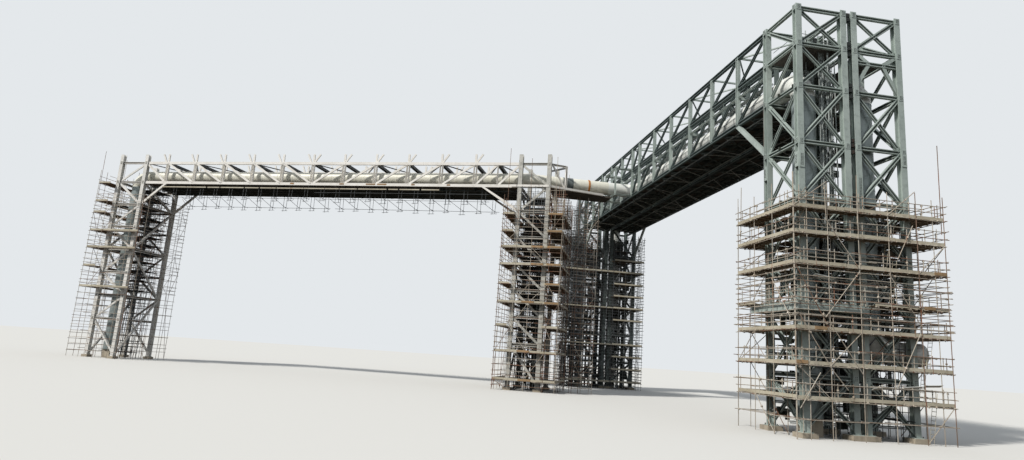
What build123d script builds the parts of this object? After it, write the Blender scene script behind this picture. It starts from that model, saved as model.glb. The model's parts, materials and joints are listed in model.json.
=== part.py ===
from build123d import *
import math
import os

# High-level pipe bridge: twin braced towers carry twin trussed spans, a second older span joins
# at an angle, and one large pipe runs through all of it. Lengths below are metres of the real
# bridge; "unit" turns them into millimetres of the 1:10 model.
scale = 1 / 10
unit = 1000 * scale

# Plan stations of the green structure: x across the twin modules, y along the span.
moduleWidth = 3.95
moduleGap = 0.93
towerDepth = 4.37
legA = 0.0
legB = legA + moduleWidth
legC = legB + moduleGap
legD = legC + moduleWidth
legLines = [legA, legB, legC, legD]
modules = [(legA, legB), (legC, legD)]
bayStart = 38.1
bayEnd = 42.5
spanStations = [towerDepth, 9.39, 14.59, 19.79, 24.99, 30.19, 35.39, bayStart, bayEnd, 47.2, 51.95, 56.7, 61.4]
pipeBay = spanStations.index(bayStart)
farTowerNear = spanStations[-1]
farTowerRear = farTowerNear + towerDepth

# Heights above the ground.
footingTop = 0.35
footRise = 0.36
braceFoot = footingTop + footRise
firstLevel = 4.3
tierHeight = 4.45
spanRise = 0.15
bottomChord = firstLevel + 5 * tierHeight + spanRise
midChord = 30.3
topChord = 33.4
portalBeam = 29.35
towerLevels = [firstLevel + tierHeight * i for i in range(5)] + [bottomChord, midChord, topChord]
farTowerLevels = [firstLevel + tierHeight * i for i in range(5)] + [bottomChord]

# Section sizes of the green steelwork.
legWidth = 0.5
legFlange = 0.06
legWeb = 0.05
legRise = 0.27
legTop = topChord + legRise
braceHalf = 0.14
strutHalf = 0.15
braceThick = 0.26
chordHalf = 0.19
chordThick = 0.34
postHalf = 0.17
trussBraceHalf = 0.13
deckThick = 0.07
deckDrop = 0.02
deckTop = bottomChord - deckDrop
floorBeamDepth = 0.26
floorBeamWidth = 0.24
serviceBeamHalf = 0.14

# The large pipe and its smaller companions.
mainRadius = 0.9
saddleDepth = 0.16
pipeX = 1.3
pipeZ = bottomChord + chordHalf + saddleDepth + mainRadius
riserY = 1.36
pedestalRise = 0.9
riserFoot = footingTop + pedestalRise
secondRiserX = 6.3
bendRadius = 1.75
wideBend = 3.0
crossPipeY = 40.3
lowPipeZ = 6.4
branchReach = 1.9

# The older light-grey span, in its own line: it leaves the bend at oldOrigin and runs along oldDir.
oldOrigin = (-15.35, 39.2)
oldAngle = 158.87
oldDir = (math.cos(math.radians(oldAngle)), math.sin(math.radians(oldAngle)))
oldNormal = (oldDir[1], -oldDir[0])
oldWidth = 7.0
oldBottom = bottomChord
oldTop = 29.8
oldStations = [0.0, 3.2, 6.4, 11.3, 16.2, 21.1, 26.0, 30.9, 35.8, 40.7, 45.6, 50.5, 55.4, 59.2]
oldTier = 3.5
oldLevels = [oldBottom - oldTier * i for i in range(6, 0, -1)] + [oldBottom, oldTop]
oldCrossLevels = [oldBottom - oldTier * i for i in (5, 3, 1)] + [oldBottom]
oldLegRise = 1.3
oldLegTop = oldTop + oldLegRise
oldLegWidth = 0.55
oldLegWeb = 0.05
oldLegFlange = 0.04
oldPad = 0.5
oldPostHalf = 0.11
oldRailHalf = 0.2
oldPipeLine = 1.6
midTower = (-3.9, oldStations[0])
leftTower = (oldStations[-1], 63.7)

# Frame that carries the pipe from the mid tower towards the twin span.
wingAngle = 11.0
wingPost = 2.49
wingBarHalf = 0.14
wingGap = 0.11
wingLength = 8.15
outX = -2.5

# Scaffolds: deck heights, standards in plan, reach beyond the legs, tube and board sizes.
nearDecks = [2.75, 5.15, 7.6, 12.3, 14.6, 16.55]
nearPartDeck = 9.65
nearScaffoldTop = 18.6
nearXs = [-1.5, 1.2, 3.7, 6.2, 8.6, 10.95]
nearYs = [-1.35, 1.4, 4.0, 6.6]
midDecks = [1.3, 4.8, 8.0, 11.0, 13.4, 15.9, 18.2, 20.3, 22.6]
midFrontDecks = [1.3, 4.8, 11.0, 15.9, 18.2]
midScaffoldTop = 25.0
leftDecks = [10.3, 13.4, 16.2, 18.8, 21.6, 23.4, 26.2]
leftFrontDecks = [10.3, 16.2, 18.8]
leftScaffoldTop = 28.6
leftFrontTop = 21.0
farDecks = [1.1, 7.0, 13.0, 19.1]
farScaffoldTop = 25.5
farOverhang = 3.6
farReach = 1.6
farSideReach = 1.2
sideReach = 1.5
wingReach = 2.1
frontReach = 1.1
tube = 0.06
boards = 0.06
guardRail = 1.05
collarLevel = 9.3
collarDepth = 0.6
collarReach = 0.8


def vec(x, y, z):
    return Vector(x * unit, y * unit, z * unit)


def box(x0, x1, y0, y1, z0, z1):
    # A plain block between two corners, in real metres.
    size = ((x1 - x0) * unit, (y1 - y0) * unit, (z1 - z0) * unit)
    return Solid.make_box(*size).moved(Location((x0 * unit, y0 * unit, z0 * unit)))


def clip(poly, a, b, c):
    # Keeps the part of a convex polygon where a*x + b*y >= c.
    out = []
    for p, q in zip(poly, poly[1:] + poly[:1]):
        dp = a * p[0] + b * p[1] - c
        dq = a * q[0] + b * q[1] - c
        if dp >= 0:
            out.append(p)
        if (dp > 0 > dq) or (dp < 0 < dq):
            t = dp / (dp - dq)
            out.append((p[0] + (q[0] - p[0]) * t, p[1] + (q[1] - p[1]) * t))
    return out


def area(poly):
    return 0.5 * sum(p[0] * q[1] - q[0] * p[1] for p, q in zip(poly, poly[1:] + poly[:1]))


def openings(rect, bars, half):
    # The openings a set of crossing bars leaves in one rectangular cell.
    x0, x1, y0, y1 = rect
    cells = [[(x0, y0), (x1, y0), (x1, y1), (x0, y1)]]
    for (px, py), (qx, qy) in bars:
        length = math.hypot(qx - px, qy - py)
        a, b = -(qy - py) / length, (qx - px) / length
        c = a * px + b * py
        cells = [part for cell in cells for part in (clip(cell, a, b, c + half), clip(cell, -a, -b, half - c))]
    return [cell for cell in cells if len(cell) > 2 and area(cell) > 0.02]


def outlines(rect, holes):
    # Bounding loops of a rectangle less its openings; an opening on an edge becomes a notch.
    x0, x1, y0, y1 = rect
    corners = [(x0, y0), (x1, y0), (x1, y1), (x0, y1)]
    sides = list(zip(corners, corners[1:] + corners[:1]))

    def along(side, p):
        (ax, ay), (bx, by) = side
        length = math.hypot(bx - ax, by - ay)
        off = ((bx - ax) * (p[1] - ay) - (by - ay) * (p[0] - ax)) / length
        return None if abs(off) > 1e-6 else ((bx - ax) * (p[0] - ax) + (by - ay) * (p[1] - ay)) / length

    edges = []
    covered = [[] for side in sides]
    for hole in holes:
        for p, q in zip(hole, hole[1:] + hole[:1]):
            for i, side in enumerate(sides):
                if along(side, p) is not None and along(side, q) is not None:
                    covered[i].append((min(along(side, p), along(side, q)), p, q))
                    break
            else:
                edges.append((q, p))
    for i, side in enumerate(sides):
        at = side[0]
        for start, p, q in sorted(covered[i], key=lambda item: item[0]):
            first, last = sorted((p, q), key=lambda point: along(side, point))
            if math.dist(at, first) > 1e-6:
                edges.append((at, first))
            at = last
        if math.dist(at, side[1]) > 1e-6:
            edges.append((at, side[1]))

    def key(p):
        return (round(p[0], 5), round(p[1], 5))

    following = {key(p): (p, q) for p, q in edges}
    loops = []
    while following:
        start = next(iter(following))
        loop, at = [], start
        while at in following:
            p, q = following.pop(at)
            loop.append(p)
            at = key(q)
        loops.append(loop)
    return loops


def upright(point, direction):
    # A vertical working plane through a plan point, its first axis along a plan direction.
    return Plane(origin=vec(point[0], point[1], 0), x_dir=(direction[0], direction[1], 0),
                 z_dir=(direction[1], -direction[0], 0))


def level(z):
    return Plane(origin=vec(0, 0, z), x_dir=(1, 0, 0), z_dir=(0, 0, 1))


def inside(p, loop):
    hit = False
    for (ax, ay), (bx, by) in zip(loop, loop[1:] + loop[:1]):
        if (ay > p[1]) != (by > p[1]) and p[0] < ax + (p[1] - ay) * (bx - ax) / (by - ay):
            hit = not hit
    return hit


def plate(rect, holes, plane, thick):
    # A flat cut plate centred on its plane.
    loops = outlines(rect, holes)
    outer = [loop for loop in loops if area(loop) > 0]
    inner = [loop for loop in loops if area(loop) < 0]
    solids = []
    for loop in outer:
        wire = Wire.make_polygon([vec(x, y, -thick / 2) for x, y in loop], close=True)
        cuts = [Wire.make_polygon([vec(x, y, -thick / 2) for x, y in h], close=True)
                for h in inner if inside(h[0], loop)]
        face = Face(wire, cuts)
        solids.append(Solid.extrude(face, Vector(0, 0, thick * unit)))
    return [plane * solid for solid in solids]


def lattice(us, vs, pattern, plane, thick, uHalf, vHalf, half, ends=None, feet=None, extra=None):
    # Posts at us, rails at vs, and one bracing mark per cell: X / \ or open. A number in "ends" is the
    # clear distance to a neighbouring leg that stands in for the outer posts; "feet" is the height at
    # which the lowest bars end on the legs.
    left = us[0] + ends if ends is not None else us[0] - uHalf
    right = us[-1] - ends if ends is not None else us[-1] + uHalf
    low = feet if feet is not None else vs[0] - vHalf
    high = vs[-1] + vHalf
    holes = []
    rows = [low - vHalf] + vs if feet is not None else vs
    for j in range(len(rows) - 1):
        for i in range(len(us) - 1):
            x0 = left if (i == 0 and ends is not None) else us[i] + uHalf
            x1 = right if (i == len(us) - 2 and ends is not None) else us[i + 1] - uHalf
            y0 = rows[j] + vHalf
            y1 = rows[j + 1] - vHalf
            mark = pattern[j][i]
            lowest = feet is not None and j == 0
            first, last, base = (x0, x1, low) if lowest else (us[i], us[i + 1], rows[j])
            bars = []
            if mark in "X/":
                bars.append(((first, base), (us[i + 1], rows[j + 1])))
            if mark in "X\\":
                bars.append(((us[i], rows[j + 1]), (last, base)))
            if extra and (j, i) in extra:
                bars = extra[(j, i)]
            holes += openings((x0, x1, y0, y1), bars, half)
    return plate((left, right, low, high), holes, plane, thick)


def column(x, y, z0, z1, wide, deep, flange, web, turn=0.0):
    # An H-section post; its flanges face front and back.
    w, d = wide / 2, deep / 2
    points = [(-w, -d), (w, -d), (w, -d + flange), (web / 2, -d + flange), (web / 2, d - flange), (w, d - flange),
              (w, d), (-w, d), (-w, d - flange), (-web / 2, d - flange), (-web / 2, -d + flange), (-w, -d + flange)]
    face = Face(Wire.make_polygon([vec(px, py, 0) for px, py in points], close=True))
    solid = Solid.extrude(face, Vector(0, 0, (z1 - z0) * unit))
    return solid.moved(Location((x * unit, y * unit, z0 * unit), (0, 0, turn)))


def leg(x, y):
    return column(x, y, footingTop, legTop, legWidth, legWidth, legFlange, legWeb)


def run(points, radius, sides=None):
    # A pipe along a line of points, mitred at every bend; small ones are drawn with flat sides.
    path = Polyline(*[vec(*p) for p in points])
    start = Plane(origin=vec(*points[0]), z_dir=vec(*points[1]) - vec(*points[0]))
    outline = RegularPolygon(radius * unit, sides) if sides else Circle(radius * unit)
    return sweep(start * outline, path=path, transition=Transition.RIGHT)


def bend(before, corner, after, radius, cuts=2):
    # Points of a mitred bend that turns at a corner between two straight runs.
    c = Vector(*corner)
    u = (Vector(*before) - c).normalized()
    v = (Vector(*after) - c).normalized()
    half = math.acos(max(-1.0, min(1.0, u.dot(v)))) / 2
    reach = radius / math.tan(half)
    centre = c + (u + v).normalized() * (radius / math.sin(half))
    first = c + u * reach - centre
    last = c + v * reach - centre
    sweepAngle = math.pi - 2 * half
    points = []
    for i in range(cuts + 1):
        t = i / cuts
        a = math.sin((1 - t) * sweepAngle) / math.sin(sweepAngle)
        b = math.sin(t * sweepAngle) / math.sin(sweepAngle)
        p = centre + first * a + last * b
        points.append((p.X, p.Y, p.Z))
    return points


def oldPoint(s, t):
    # A plan point of the older span: s along it from the bend, t away from the near truss.
    return (oldOrigin[0] + oldDir[0] * s + oldNormal[0] * t, oldOrigin[1] + oldDir[1] * s + oldNormal[1] * t)


parts = {}


def add(name, shapes):
    shapes = shapes if isinstance(shapes, list) else [shapes]
    solids = []
    for shape in shapes:
        solids += shape.solids()
    parts[name] = Compound(children=solids) if len(solids) > 1 else solids[0]


legFace = legWidth / 2
tieHalf = 0.22

# Near tower: eight legs, the bracing between them, footings.
add("near_tower_legs", [leg(x, y) for y in (0.0, towerDepth) for x in legLines])

frontOne = lattice([legA, legB], towerLevels, ["X"] * 8, upright((0, 0), (1, 0)), braceThick, 0,
                   strutHalf, braceHalf, ends=legWeb / 2, feet=braceFoot)
levelsTwo = towerLevels[:6] + [portalBeam, midChord, topChord]
third = legC + moduleWidth * 0.35
twoThird = legC + moduleWidth * 0.65
portal = {(6, 0): [((legC, bottomChord + 0.35), (third, portalBeam)), ((legD, bottomChord + 0.2), (twoThird, portalBeam))],
          (7, 0): [((legC, midChord), (third, portalBeam)), ((legD, midChord), (twoThird, portalBeam))]}
frontTwo = lattice([legC, legD], levelsTwo, ["X"] * 9, upright((0, 0), (1, 0)), braceThick, 0,
                   strutHalf, braceHalf, ends=legWeb / 2, feet=braceFoot, extra=portal)
add("near_tower_front_bracing", frontOne + frontTwo)


def sideWall(name, x, us, marks):
    # A bracing plane that runs along the span at one x.
    add(name, lattice(us, towerLevels, marks, upright((x, 0), (0, 1)), braceThick, 0, strutHalf, braceHalf,
                      ends=legFace, feet=braceFoot))


def frontWall(name, y, levels, marks):
    # The bracing planes of both modules across one end of a tower.
    panels = []
    for x0, x1 in modules:
        panels += lattice([x0, x1], levels, marks, upright((0, y), (1, 0)), braceThick, 0, strutHalf, braceHalf,
                          ends=legWeb / 2, feet=braceFoot)
    add(name, panels)


outerMarks = ["X"] * 6 + ["\\", "/"]
zigzag = ["/", "\\"] * 4
strutsOnly = [" "] * 8
nearSide = [0.0, towerDepth]
sideWall("near_tower_left_side_bracing", legA, nearSide, outerMarks)
# The low branch pipe leaves through the second tier of the right side, which stays open.
sideWall("near_tower_right_side_bracing", legD, nearSide, ["X", " "] + outerMarks[2:])
sideWall("near_tower_inner_struts_left", legB, nearSide, strutsOnly)
sideWall("near_tower_inner_struts_right", legC, nearSide, strutsOnly)

# The rear wall has struts only, so that the pipes can enter from the span.
frontWall("near_tower_rear_struts", towerDepth, towerLevels, strutsOnly)
padHalf = 0.62


def footings(name, y0):
    # Single pads under the outer legs, one wide pad under each inner pair.
    blocks = []
    for y in (y0, y0 + towerDepth):
        for x0, x1 in ((legA, legA), (legB, legC), (legD, legD)):
            blocks.append(box(x0 - padHalf, x1 + padHalf, y - padHalf, y + padHalf, 0, footingTop))
    add(name, blocks)


footings("near_tower_footings", 0.0)

# Bolted packers that tie the two modules together across the gap.
ties = []
for y in (0.0, towerDepth):
    for z in towerLevels[1:]:
        ties.append(box(legB + legFace, legC - legFace, y - legFace, y + legFace, z - tieHalf, z + tieHalf))
add("near_tower_module_ties", ties)

# Far tower under the other end of the span.
add("far_tower_legs", [leg(x, y) for y in (farTowerNear, farTowerRear) for x in legLines])
frontWall("far_tower_near_bracing", farTowerNear, farTowerLevels, zigzag)
frontWall("far_tower_rear_bracing", farTowerRear, towerLevels, zigzag)
farSide = [farTowerNear, farTowerRear]
sideWall("far_tower_left_side_bracing", legA, farSide, zigzag)
sideWall("far_tower_right_side_bracing", legD, farSide, zigzag)
footings("far_tower_footings", farTowerNear)

# Twin span: four upright trusses, two tiers each, between the towers.
chordLevels = [bottomChord, midChord, topChord]


def truss(name, x, lower, upper):
    add(name, lattice(spanStations, chordLevels, [lower, upper], upright((x, 0), (0, 1)), chordThick, postHalf,
                      chordHalf, trussBraceHalf, ends=legFace))


bays = len(spanStations) - 1
single = ["\\"] * bays
passing = ["\\"] * pipeBay + [" "] + ["\\"] * (bays - pipeBay - 1)
plain = [" "] * bays
truss("span_truss_near", legA, passing, single)
truss("span_truss_inner_left", legB, plain, plain)
truss("span_truss_inner_right", legC, plain, plain)
truss("span_truss_far", legD, single, single)

# Struts between the top chords of each module.
topStrut = 0.15
topStruts = []
for x0, x1 in modules:
    for y in spanStations[1:-1]:
        topStruts.append(box(x0 + chordThick / 2, x1 - chordThick / 2, y - topStrut / 2, y + topStrut / 2,
                             topChord - topStrut / 2, topChord + topStrut / 2))
add("span_top_struts", topStruts)

# Decks on the bottom chords and the floor beams under them; mid-height beams carry services.
decks, floorBeams, midBeams = [], [], []
deckStart = towerDepth + legFace
deckEnd = farTowerNear - legFace
under = deckTop - deckThick
for x0, x1 in modules:
    a, b = x0 + chordThick / 2, x1 - chordThick / 2
    decks.append(box(a, b, deckStart, deckEnd, under, deckTop))
    for y in spanStations[1:-1]:
        floorBeams.append(box(a, b, y - floorBeamWidth / 2, y + floorBeamWidth / 2, under - floorBeamDepth, under))
    for y in spanStations[1:-1:2]:
        midBeams.append(box(a, b, y - floorBeamWidth / 2, y + floorBeamWidth / 2, portalBeam - serviceBeamHalf,
                            portalBeam + serviceBeamHalf))
add("span_decks", decks)
add("span_floor_beams", floorBeams)
add("span_service_beams", midBeams)

# The large pipe: from the old span across to the twin span, along it and down inside the near tower.
crossStart = (-2.9, crossPipeY, pipeZ)
crossTurn = (pipeX, crossPipeY, pipeZ)
dropTurn = (pipeX, riserY, pipeZ)
dropFoot = (pipeX, riserY, riserFoot)
firstBend = bend(crossStart, crossTurn, dropTurn, bendRadius)
lastBend = bend(crossTurn, dropTurn, dropFoot, bendRadius)
add("main_pipe_twin_span", run([crossStart] + firstBend + lastBend + [dropFoot], mainRadius))

# The second large pipe lies in the other module, with a riser at each tower.
farRiserY = farTowerRear - riserY
lowEnd = (legD + branchReach, riserY, lowPipeZ)
lowTurn = (secondRiserX, riserY, lowPipeZ)
upTurn = (secondRiserX, riserY, pipeZ)
farTurn = (secondRiserX, farRiserY, pipeZ)
farFoot = (secondRiserX, farRiserY, riserFoot)
lowBend = bend(lowEnd, lowTurn, upTurn, bendRadius)
upBend = bend(lowTurn, upTurn, farTurn, bendRadius)
farBend = bend(upTurn, farTurn, farFoot, bendRadius)
add("second_pipe", run([lowEnd] + lowBend + upBend + farBend + [farFoot], mainRadius))


def pedestal(x, y):
    return box(x - padHalf, x + padHalf, y - padHalf, y + padHalf, 0, riserFoot)

# Small service pipes: along the deck and on the service beams, then down inside the near tower.
serviceTop = portalBeam + serviceBeamHalf
serviceBase = bottomChord + chordHalf
serviceFeet = [3.2, 3.6]
serviceBend = 0.5
serviceLines = [(2.4, 0.11, serviceTop, 2.9), (2.68, 0.11, serviceTop, 2.5), (3.02, 0.17, serviceBase, 1.6),
                (3.45, 0.14, serviceBase, 1.1), (7.55, 0.17, serviceBase, 2.6), (8.2, 0.14, serviceBase, 3.0),
                (7.88, 0.11, serviceTop, 3.5)]
service = []
for x, r, base, y in serviceLines:
    z = base + r
    floorZ = serviceFeet[0] if x < legB else serviceFeet[1]
    turn = bend((x, deckEnd, z), (x, y, z), (x, y, floorZ), serviceBend, cuts=1)
    service.append(run([(x, deckEnd, z)] + turn + [(x, y, floorZ)], r, sides=6))
add("service_pipes", service)

# Upper floors inside the near tower.
floorFront, floorRear = legFace, towerDepth - legFace
floorThick = 0.08
floorEdge = 7.3
wallFace = braceThick / 2
add("near_tower_floors", [box(legA + wallFace, legB - wallFace, floorFront, floorRear, midChord, midChord + floorThick),
                          box(legC + wallFace, floorEdge, floorFront, floorRear, portalBeam, portalBeam + floorThick)])


def web(points, plane, thick):
    # A flat plate of any outline, centred on its plane.
    face = Face(Wire.make_polygon([vec(x, y, -thick / 2) for x, y in points], close=True))
    return plane * Solid.extrude(face, Vector(0, 0, thick * unit))


def knee(face, way, low, reach, width, top, plane, thick):
    # A raking brace from a leg face to the underside of a chord; "way" is +1 or -1 along the plane.
    outline = [(face, low), (face, low + width), (face + way * reach, top), (face + way * (reach + width), top)]
    return web(outline if way < 0 else outline[::-1], plane, thick)


# Knee braces between the legs and the bottom chords.
kneeWidth = 0.6
kneeReach = 4.4
chordUnder = bottomChord - chordHalf
knees = []
for x in (legA, legD):
    plane = upright((x, 0), (0, 1))
    knees.append(knee(deckStart, 1, towerLevels[4], kneeReach, kneeWidth, chordUnder, plane, braceThick))
    knees.append(knee(deckEnd, -1, towerLevels[4], kneeReach, kneeWidth, chordUnder, plane, braceThick))
add("span_knee_braces", knees)

# Balcony frame that carries the large pipe where it enters the twin span.
inX = legA - chordThick / 2
half = 0.1
frame = [box(outX, outX + 2 * half, y - half, y + half, bottomChord - half, midChord + half) for y in (bayStart, bayEnd)]
for z in (bottomChord, midChord):
    frame.append(box(outX, outX + 2 * half, bayStart, bayEnd, z - half, z + half))
    for y in (bayStart, bayEnd):
        frame.append(box(outX, inX, y - half, y + half, z - half, z + half))
add("pipe_entry_balcony", frame[0].fuse(*frame[1:]))

# Older span: two trusses, plan bracing, deck, posts with forked heads.
oldStart, oldEnd = oldStations[0], oldStations[-1]
oldMiddle = len(oldStations) // 2
oldBays = len(oldStations) - 1
oldMarks = [["\\" if i < oldMiddle else "/" for i in range(oldBays)]]
oldThick = 0.24
oldBraceHalf = 0.14


def oldWall(t, us, vs, marks, feet=None):
    return lattice(us, vs, marks, upright(oldPoint(0, t), oldDir), oldThick, oldPostHalf, oldRailHalf, oldBraceHalf,
                   ends=oldLegWeb / 2, feet=feet)


add("old_span_truss_near", oldWall(0, oldStations, [oldBottom, oldTop], oldMarks))
add("old_span_truss_far", oldWall(oldWidth, oldStations, [oldBottom, oldTop], oldMarks))


def oldBlock(s0, s1, t0, t1, z0, z1):
    # A block between distances along and across the old span and two heights.
    corners = [(s0, t0), (s1, t0), (s1, t1), (s0, t1)]
    face = Face(Wire.make_polygon([vec(*oldPoint(a, b), z0) for a, b in corners], close=True))
    return Solid.extrude(face, Vector(0, 0, (z1 - z0) * unit))


oldFace = oldThick / 2
oldDeckTop = oldBottom - deckDrop
oldDeckUnder = oldDeckTop - deckThick
legClearance = 0.02
clearLeg = oldLegWidth / 2 + legClearance
add("old_span_deck", oldBlock(oldStart + clearLeg, oldEnd - clearLeg, oldFace, oldWidth - oldFace, oldDeckUnder,
                              oldDeckTop))
oldBeams = []
for a in oldStations[1:-1]:
    oldBeams.append(oldBlock(a - oldPostHalf, a + oldPostHalf, oldFace, oldWidth - oldFace,
                             oldDeckUnder - floorBeamDepth, oldDeckUnder))
add("old_span_floor_beams", oldBeams)

oldTopStruts = []
for a in oldStations[1:-1]:
    oldTopStruts.append(oldBlock(a - topStrut / 2, a + topStrut / 2, oldFace, oldWidth - oldFace, oldTop - topStrut / 2,
                                 oldTop + topStrut / 2))
add("old_span_top_struts", oldTopStruts)

# Forked heads above the posts of the old span: an upright and one arm that leans away from the end tower.
forks = []
forkBase = oldTop + oldRailHalf
forkHeight = 1.2
forkTop = forkBase + forkHeight
forkReach, forkArm = 1.1, 0.28
forkHalf = forkArm / 2
forkCrotch = forkBase + forkHeight * forkArm / (forkReach - forkHalf)
forkThick = 0.12
for a in oldStations[2:-1]:
    for t in (0, oldWidth):
        outline = [(forkHalf, forkBase), (forkHalf, forkTop), (-forkHalf, forkTop), (-forkHalf, forkCrotch),
                   (forkArm - forkReach, forkTop), (-forkReach, forkTop), (-forkHalf, forkBase)]
        forks.append(web(outline, upright(oldPoint(a, t), oldDir), forkThick))
add("old_span_forked_heads", forks)

# Knee braces of the old span.
oldKnees = []
oldChordUnder = oldBottom - oldRailHalf
oldLegFace = oldLegWidth / 2
oldKneeWidth = 0.45
oldKneeReach, endKneeReach = 4.6, 3.4
for t in (0, oldWidth):
    plane = upright(oldPoint(0, t), oldDir)
    oldKnees.append(knee(oldLegFace, 1, oldLevels[5], oldKneeReach, oldKneeWidth, oldChordUnder, plane, oldThick))
    oldKnees.append(knee(oldEnd - oldLegFace, -1, oldLevels[5], endKneeReach, oldKneeWidth, oldChordUnder, plane,
                         oldThick))
add("old_span_knee_braces", oldKnees)


def oldTower(prefix, ends, marks):
    # A four-legged tower in line with the old span.
    turn = oldAngle - 180
    legs, pads = [], []
    for a in ends:
        for t in (0, oldWidth):
            x, y = oldPoint(a, t)
            legs.append(column(x, y, footingTop, oldLegTop, oldLegWidth, oldLegWidth, oldLegFlange, oldLegWeb, turn))
            pads.append(oldBlock(a - oldPad, a + oldPad, t - oldPad, t + oldPad, 0, footingTop))
    add(prefix + "_legs", legs)
    add(prefix + "_footings", pads)
    add(prefix + "_long_bracing", oldWall(0, list(ends), oldLevels, marks, braceFoot)
        + oldWall(oldWidth, list(ends), oldLevels, marks, braceFoot))
    across = []
    for a in ends:
        across += lattice([0.0, oldWidth], oldCrossLevels, ["/", "\\", "/", "\\"], upright(oldPoint(a, 0), oldNormal),
                          oldThick, 0, oldRailHalf, oldBraceHalf, ends=oldLegFace, feet=braceFoot)
    add(prefix + "_cross_bracing", across)


oldTower("mid_tower", midTower, ["/"] * 6 + ["\\", "/"])
oldTower("left_tower", leftTower, ["/", "\\"] * 4)

# The large pipe through the old span, with a riser down the left tower.
leftTurnS = sum(leftTower) / 2
leftTop = (*oldPoint(leftTurnS, oldPipeLine), pipeZ)
leftFoot = (*oldPoint(leftTurnS, oldPipeLine), riserFoot)
axisStart = oldPoint(0, oldPipeLine)
cornerPoint = (*oldPoint((crossPipeY - axisStart[1]) / oldDir[1], oldPipeLine), pipeZ)
leftBend = bend(leftFoot, leftTop, cornerPoint, bendRadius)
oldBend = bend(leftTop, cornerPoint, crossStart, wideBend)
add("main_pipe_old_span", run([leftFoot] + leftBend + oldBend + [crossStart], mainRadius))
add("riser_pedestals", [pedestal(pipeX, riserY), pedestal(secondRiserX, farRiserY),
                        oldBlock(leftTurnS - padHalf, leftTurnS + padHalf, oldPipeLine - padHalf,
                                 oldPipeLine + padHalf, 0, riserFoot)])

# Saddles under the large pipes, bearers under the service pipes.
saddles = []
pipeUnder = pipeZ - mainRadius
saddleHalf = 0.6
saddleWide = 0.3
lineBearers = [(2.8, 3.65), (7.3, 8.4)]
for y in spanStations[1:pipeBay:2]:
    saddles.append(box(pipeX - saddleHalf, pipeX + saddleHalf, y - saddleWide / 2, y + saddleWide / 2, deckTop, pipeUnder))
for y in spanStations[1:-1:3]:
    saddles.append(box(secondRiserX - saddleHalf, secondRiserX + saddleHalf, y - saddleWide / 2, y + saddleWide / 2,
                       deckTop, pipeUnder))
    for x0, x1 in lineBearers:
        saddles.append(box(x0, x1, y - saddleWide / 2, y + saddleWide / 2, deckTop, serviceBase))
for a in oldStations[1:-1:2]:
    saddles.append(oldBlock(a - saddleWide / 2, a + saddleWide / 2, oldPipeLine - saddleHalf, oldPipeLine + saddleHalf,
                            oldDeckTop, pipeUnder))
add("pipe_saddles", saddles)

# Corner frame: a braced bay beyond the mid tower, its bottom beam runs on towards the twin span.
wingDir = (math.cos(math.radians(wingAngle)), math.sin(math.radians(wingAngle)))
wingStart = oldPoint(midTower[0], 0)
wingPlane = upright(wingStart, wingDir)


def wingPoint(u, v):
    return (wingStart[0] + wingDir[0] * u - wingDir[1] * v, wingStart[1] + wingDir[1] * u + wingDir[0] * v)


clearWing = oldLegFace + wingGap
cell = (clearWing, wingPost - oldPostHalf, oldBottom + wingBarHalf, oldTop - wingBarHalf)
bayHoles = openings(cell, [((0, oldTop), (wingPost, oldBottom))], oldBraceHalf)
bayPanel = plate((clearWing, wingPost + oldPostHalf, oldBottom - wingBarHalf, oldTop + wingBarHalf), bayHoles,
                 wingPlane, oldThick)
beamOutline = [(wingPost + oldPostHalf, oldBottom - wingBarHalf), (wingLength, oldBottom - wingBarHalf),
               (wingLength, oldBottom + wingBarHalf), (wingPost + oldPostHalf, oldBottom + wingBarHalf)]
add("corner_frame_bracing", bayPanel[0].fuse(web(beamOutline, wingPlane, oldThick)))

# Platform under the large pipe between the old span and the twin span.
platformInset = 0.25
platformEnd = bayEnd - platformInset
platformCorner = -9.6
platform = [wingPoint(clearWing, oldFace), wingPoint(wingLength, oldFace), (outX, wingPoint(wingLength, oldFace)[1]),
            (outX, platformEnd), (platformCorner, platformEnd)]
slab = Face(Wire.make_polygon([vec(x, y, oldDeckTop - floorBeamDepth) for x, y in platform], close=True))
add("corner_platform", Solid.extrude(slab, Vector(0, 0, floorBeamDepth * unit)))

# Scaffold round the near tower: ring decks against the legs, ring guard rails, standards.
innerX = (legA - legFace, legD + legFace)
innerY = (-legFace, towerDepth + legFace)
outX0, outX1, outY0, outY1 = nearXs[0], nearXs[-1], nearYs[0], nearYs[-1]


def ring(outer, inner, z, thick):
    # A flat frame round an opening; both are (x0, x1, y0, y1).
    x0, x1, y0, y1 = inner
    return plate(outer, [[(x0, y0), (x1, y0), (x1, y1), (x0, y1)]], level(z), thick)


deckEdge = (outX0, outX1, outY0, outY1)
railEdge = (outX0 + tube, outX1 - tube, outY0 + tube, outY1 - tube)
nearBoards, nearRails = [], []
for z in nearDecks:
    nearBoards += ring(deckEdge, innerX + innerY, z, boards)
    nearRails += ring(deckEdge, railEdge, z + guardRail, tube)
partBase = nearPartDeck - boards / 2
nearBoards.append(box(legC, outX1, outY0, innerY[0], partBase, partBase + boards))
nearBoards.append(box(innerX[1], outX1, innerY[0], innerY[1], partBase, partBase + boards))
add("near_tower_scaffold_decks", nearBoards)
add("near_tower_scaffold_rails", nearRails)


def standard(x, y, top):
    return box(x - tube / 2, x + tube / 2, y - tube / 2, y + tube / 2, 0, top)


nearPosts = [standard(x, y, nearScaffoldTop) for x in nearXs[1:-1] for y in (outY0 - tube / 2, outY1 + tube / 2)]
nearPosts += [standard(x, y, nearScaffoldTop) for x in (outX0 - tube / 2, outX1 + tube / 2) for y in nearYs]
add("near_tower_scaffold_standards", nearPosts)

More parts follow.
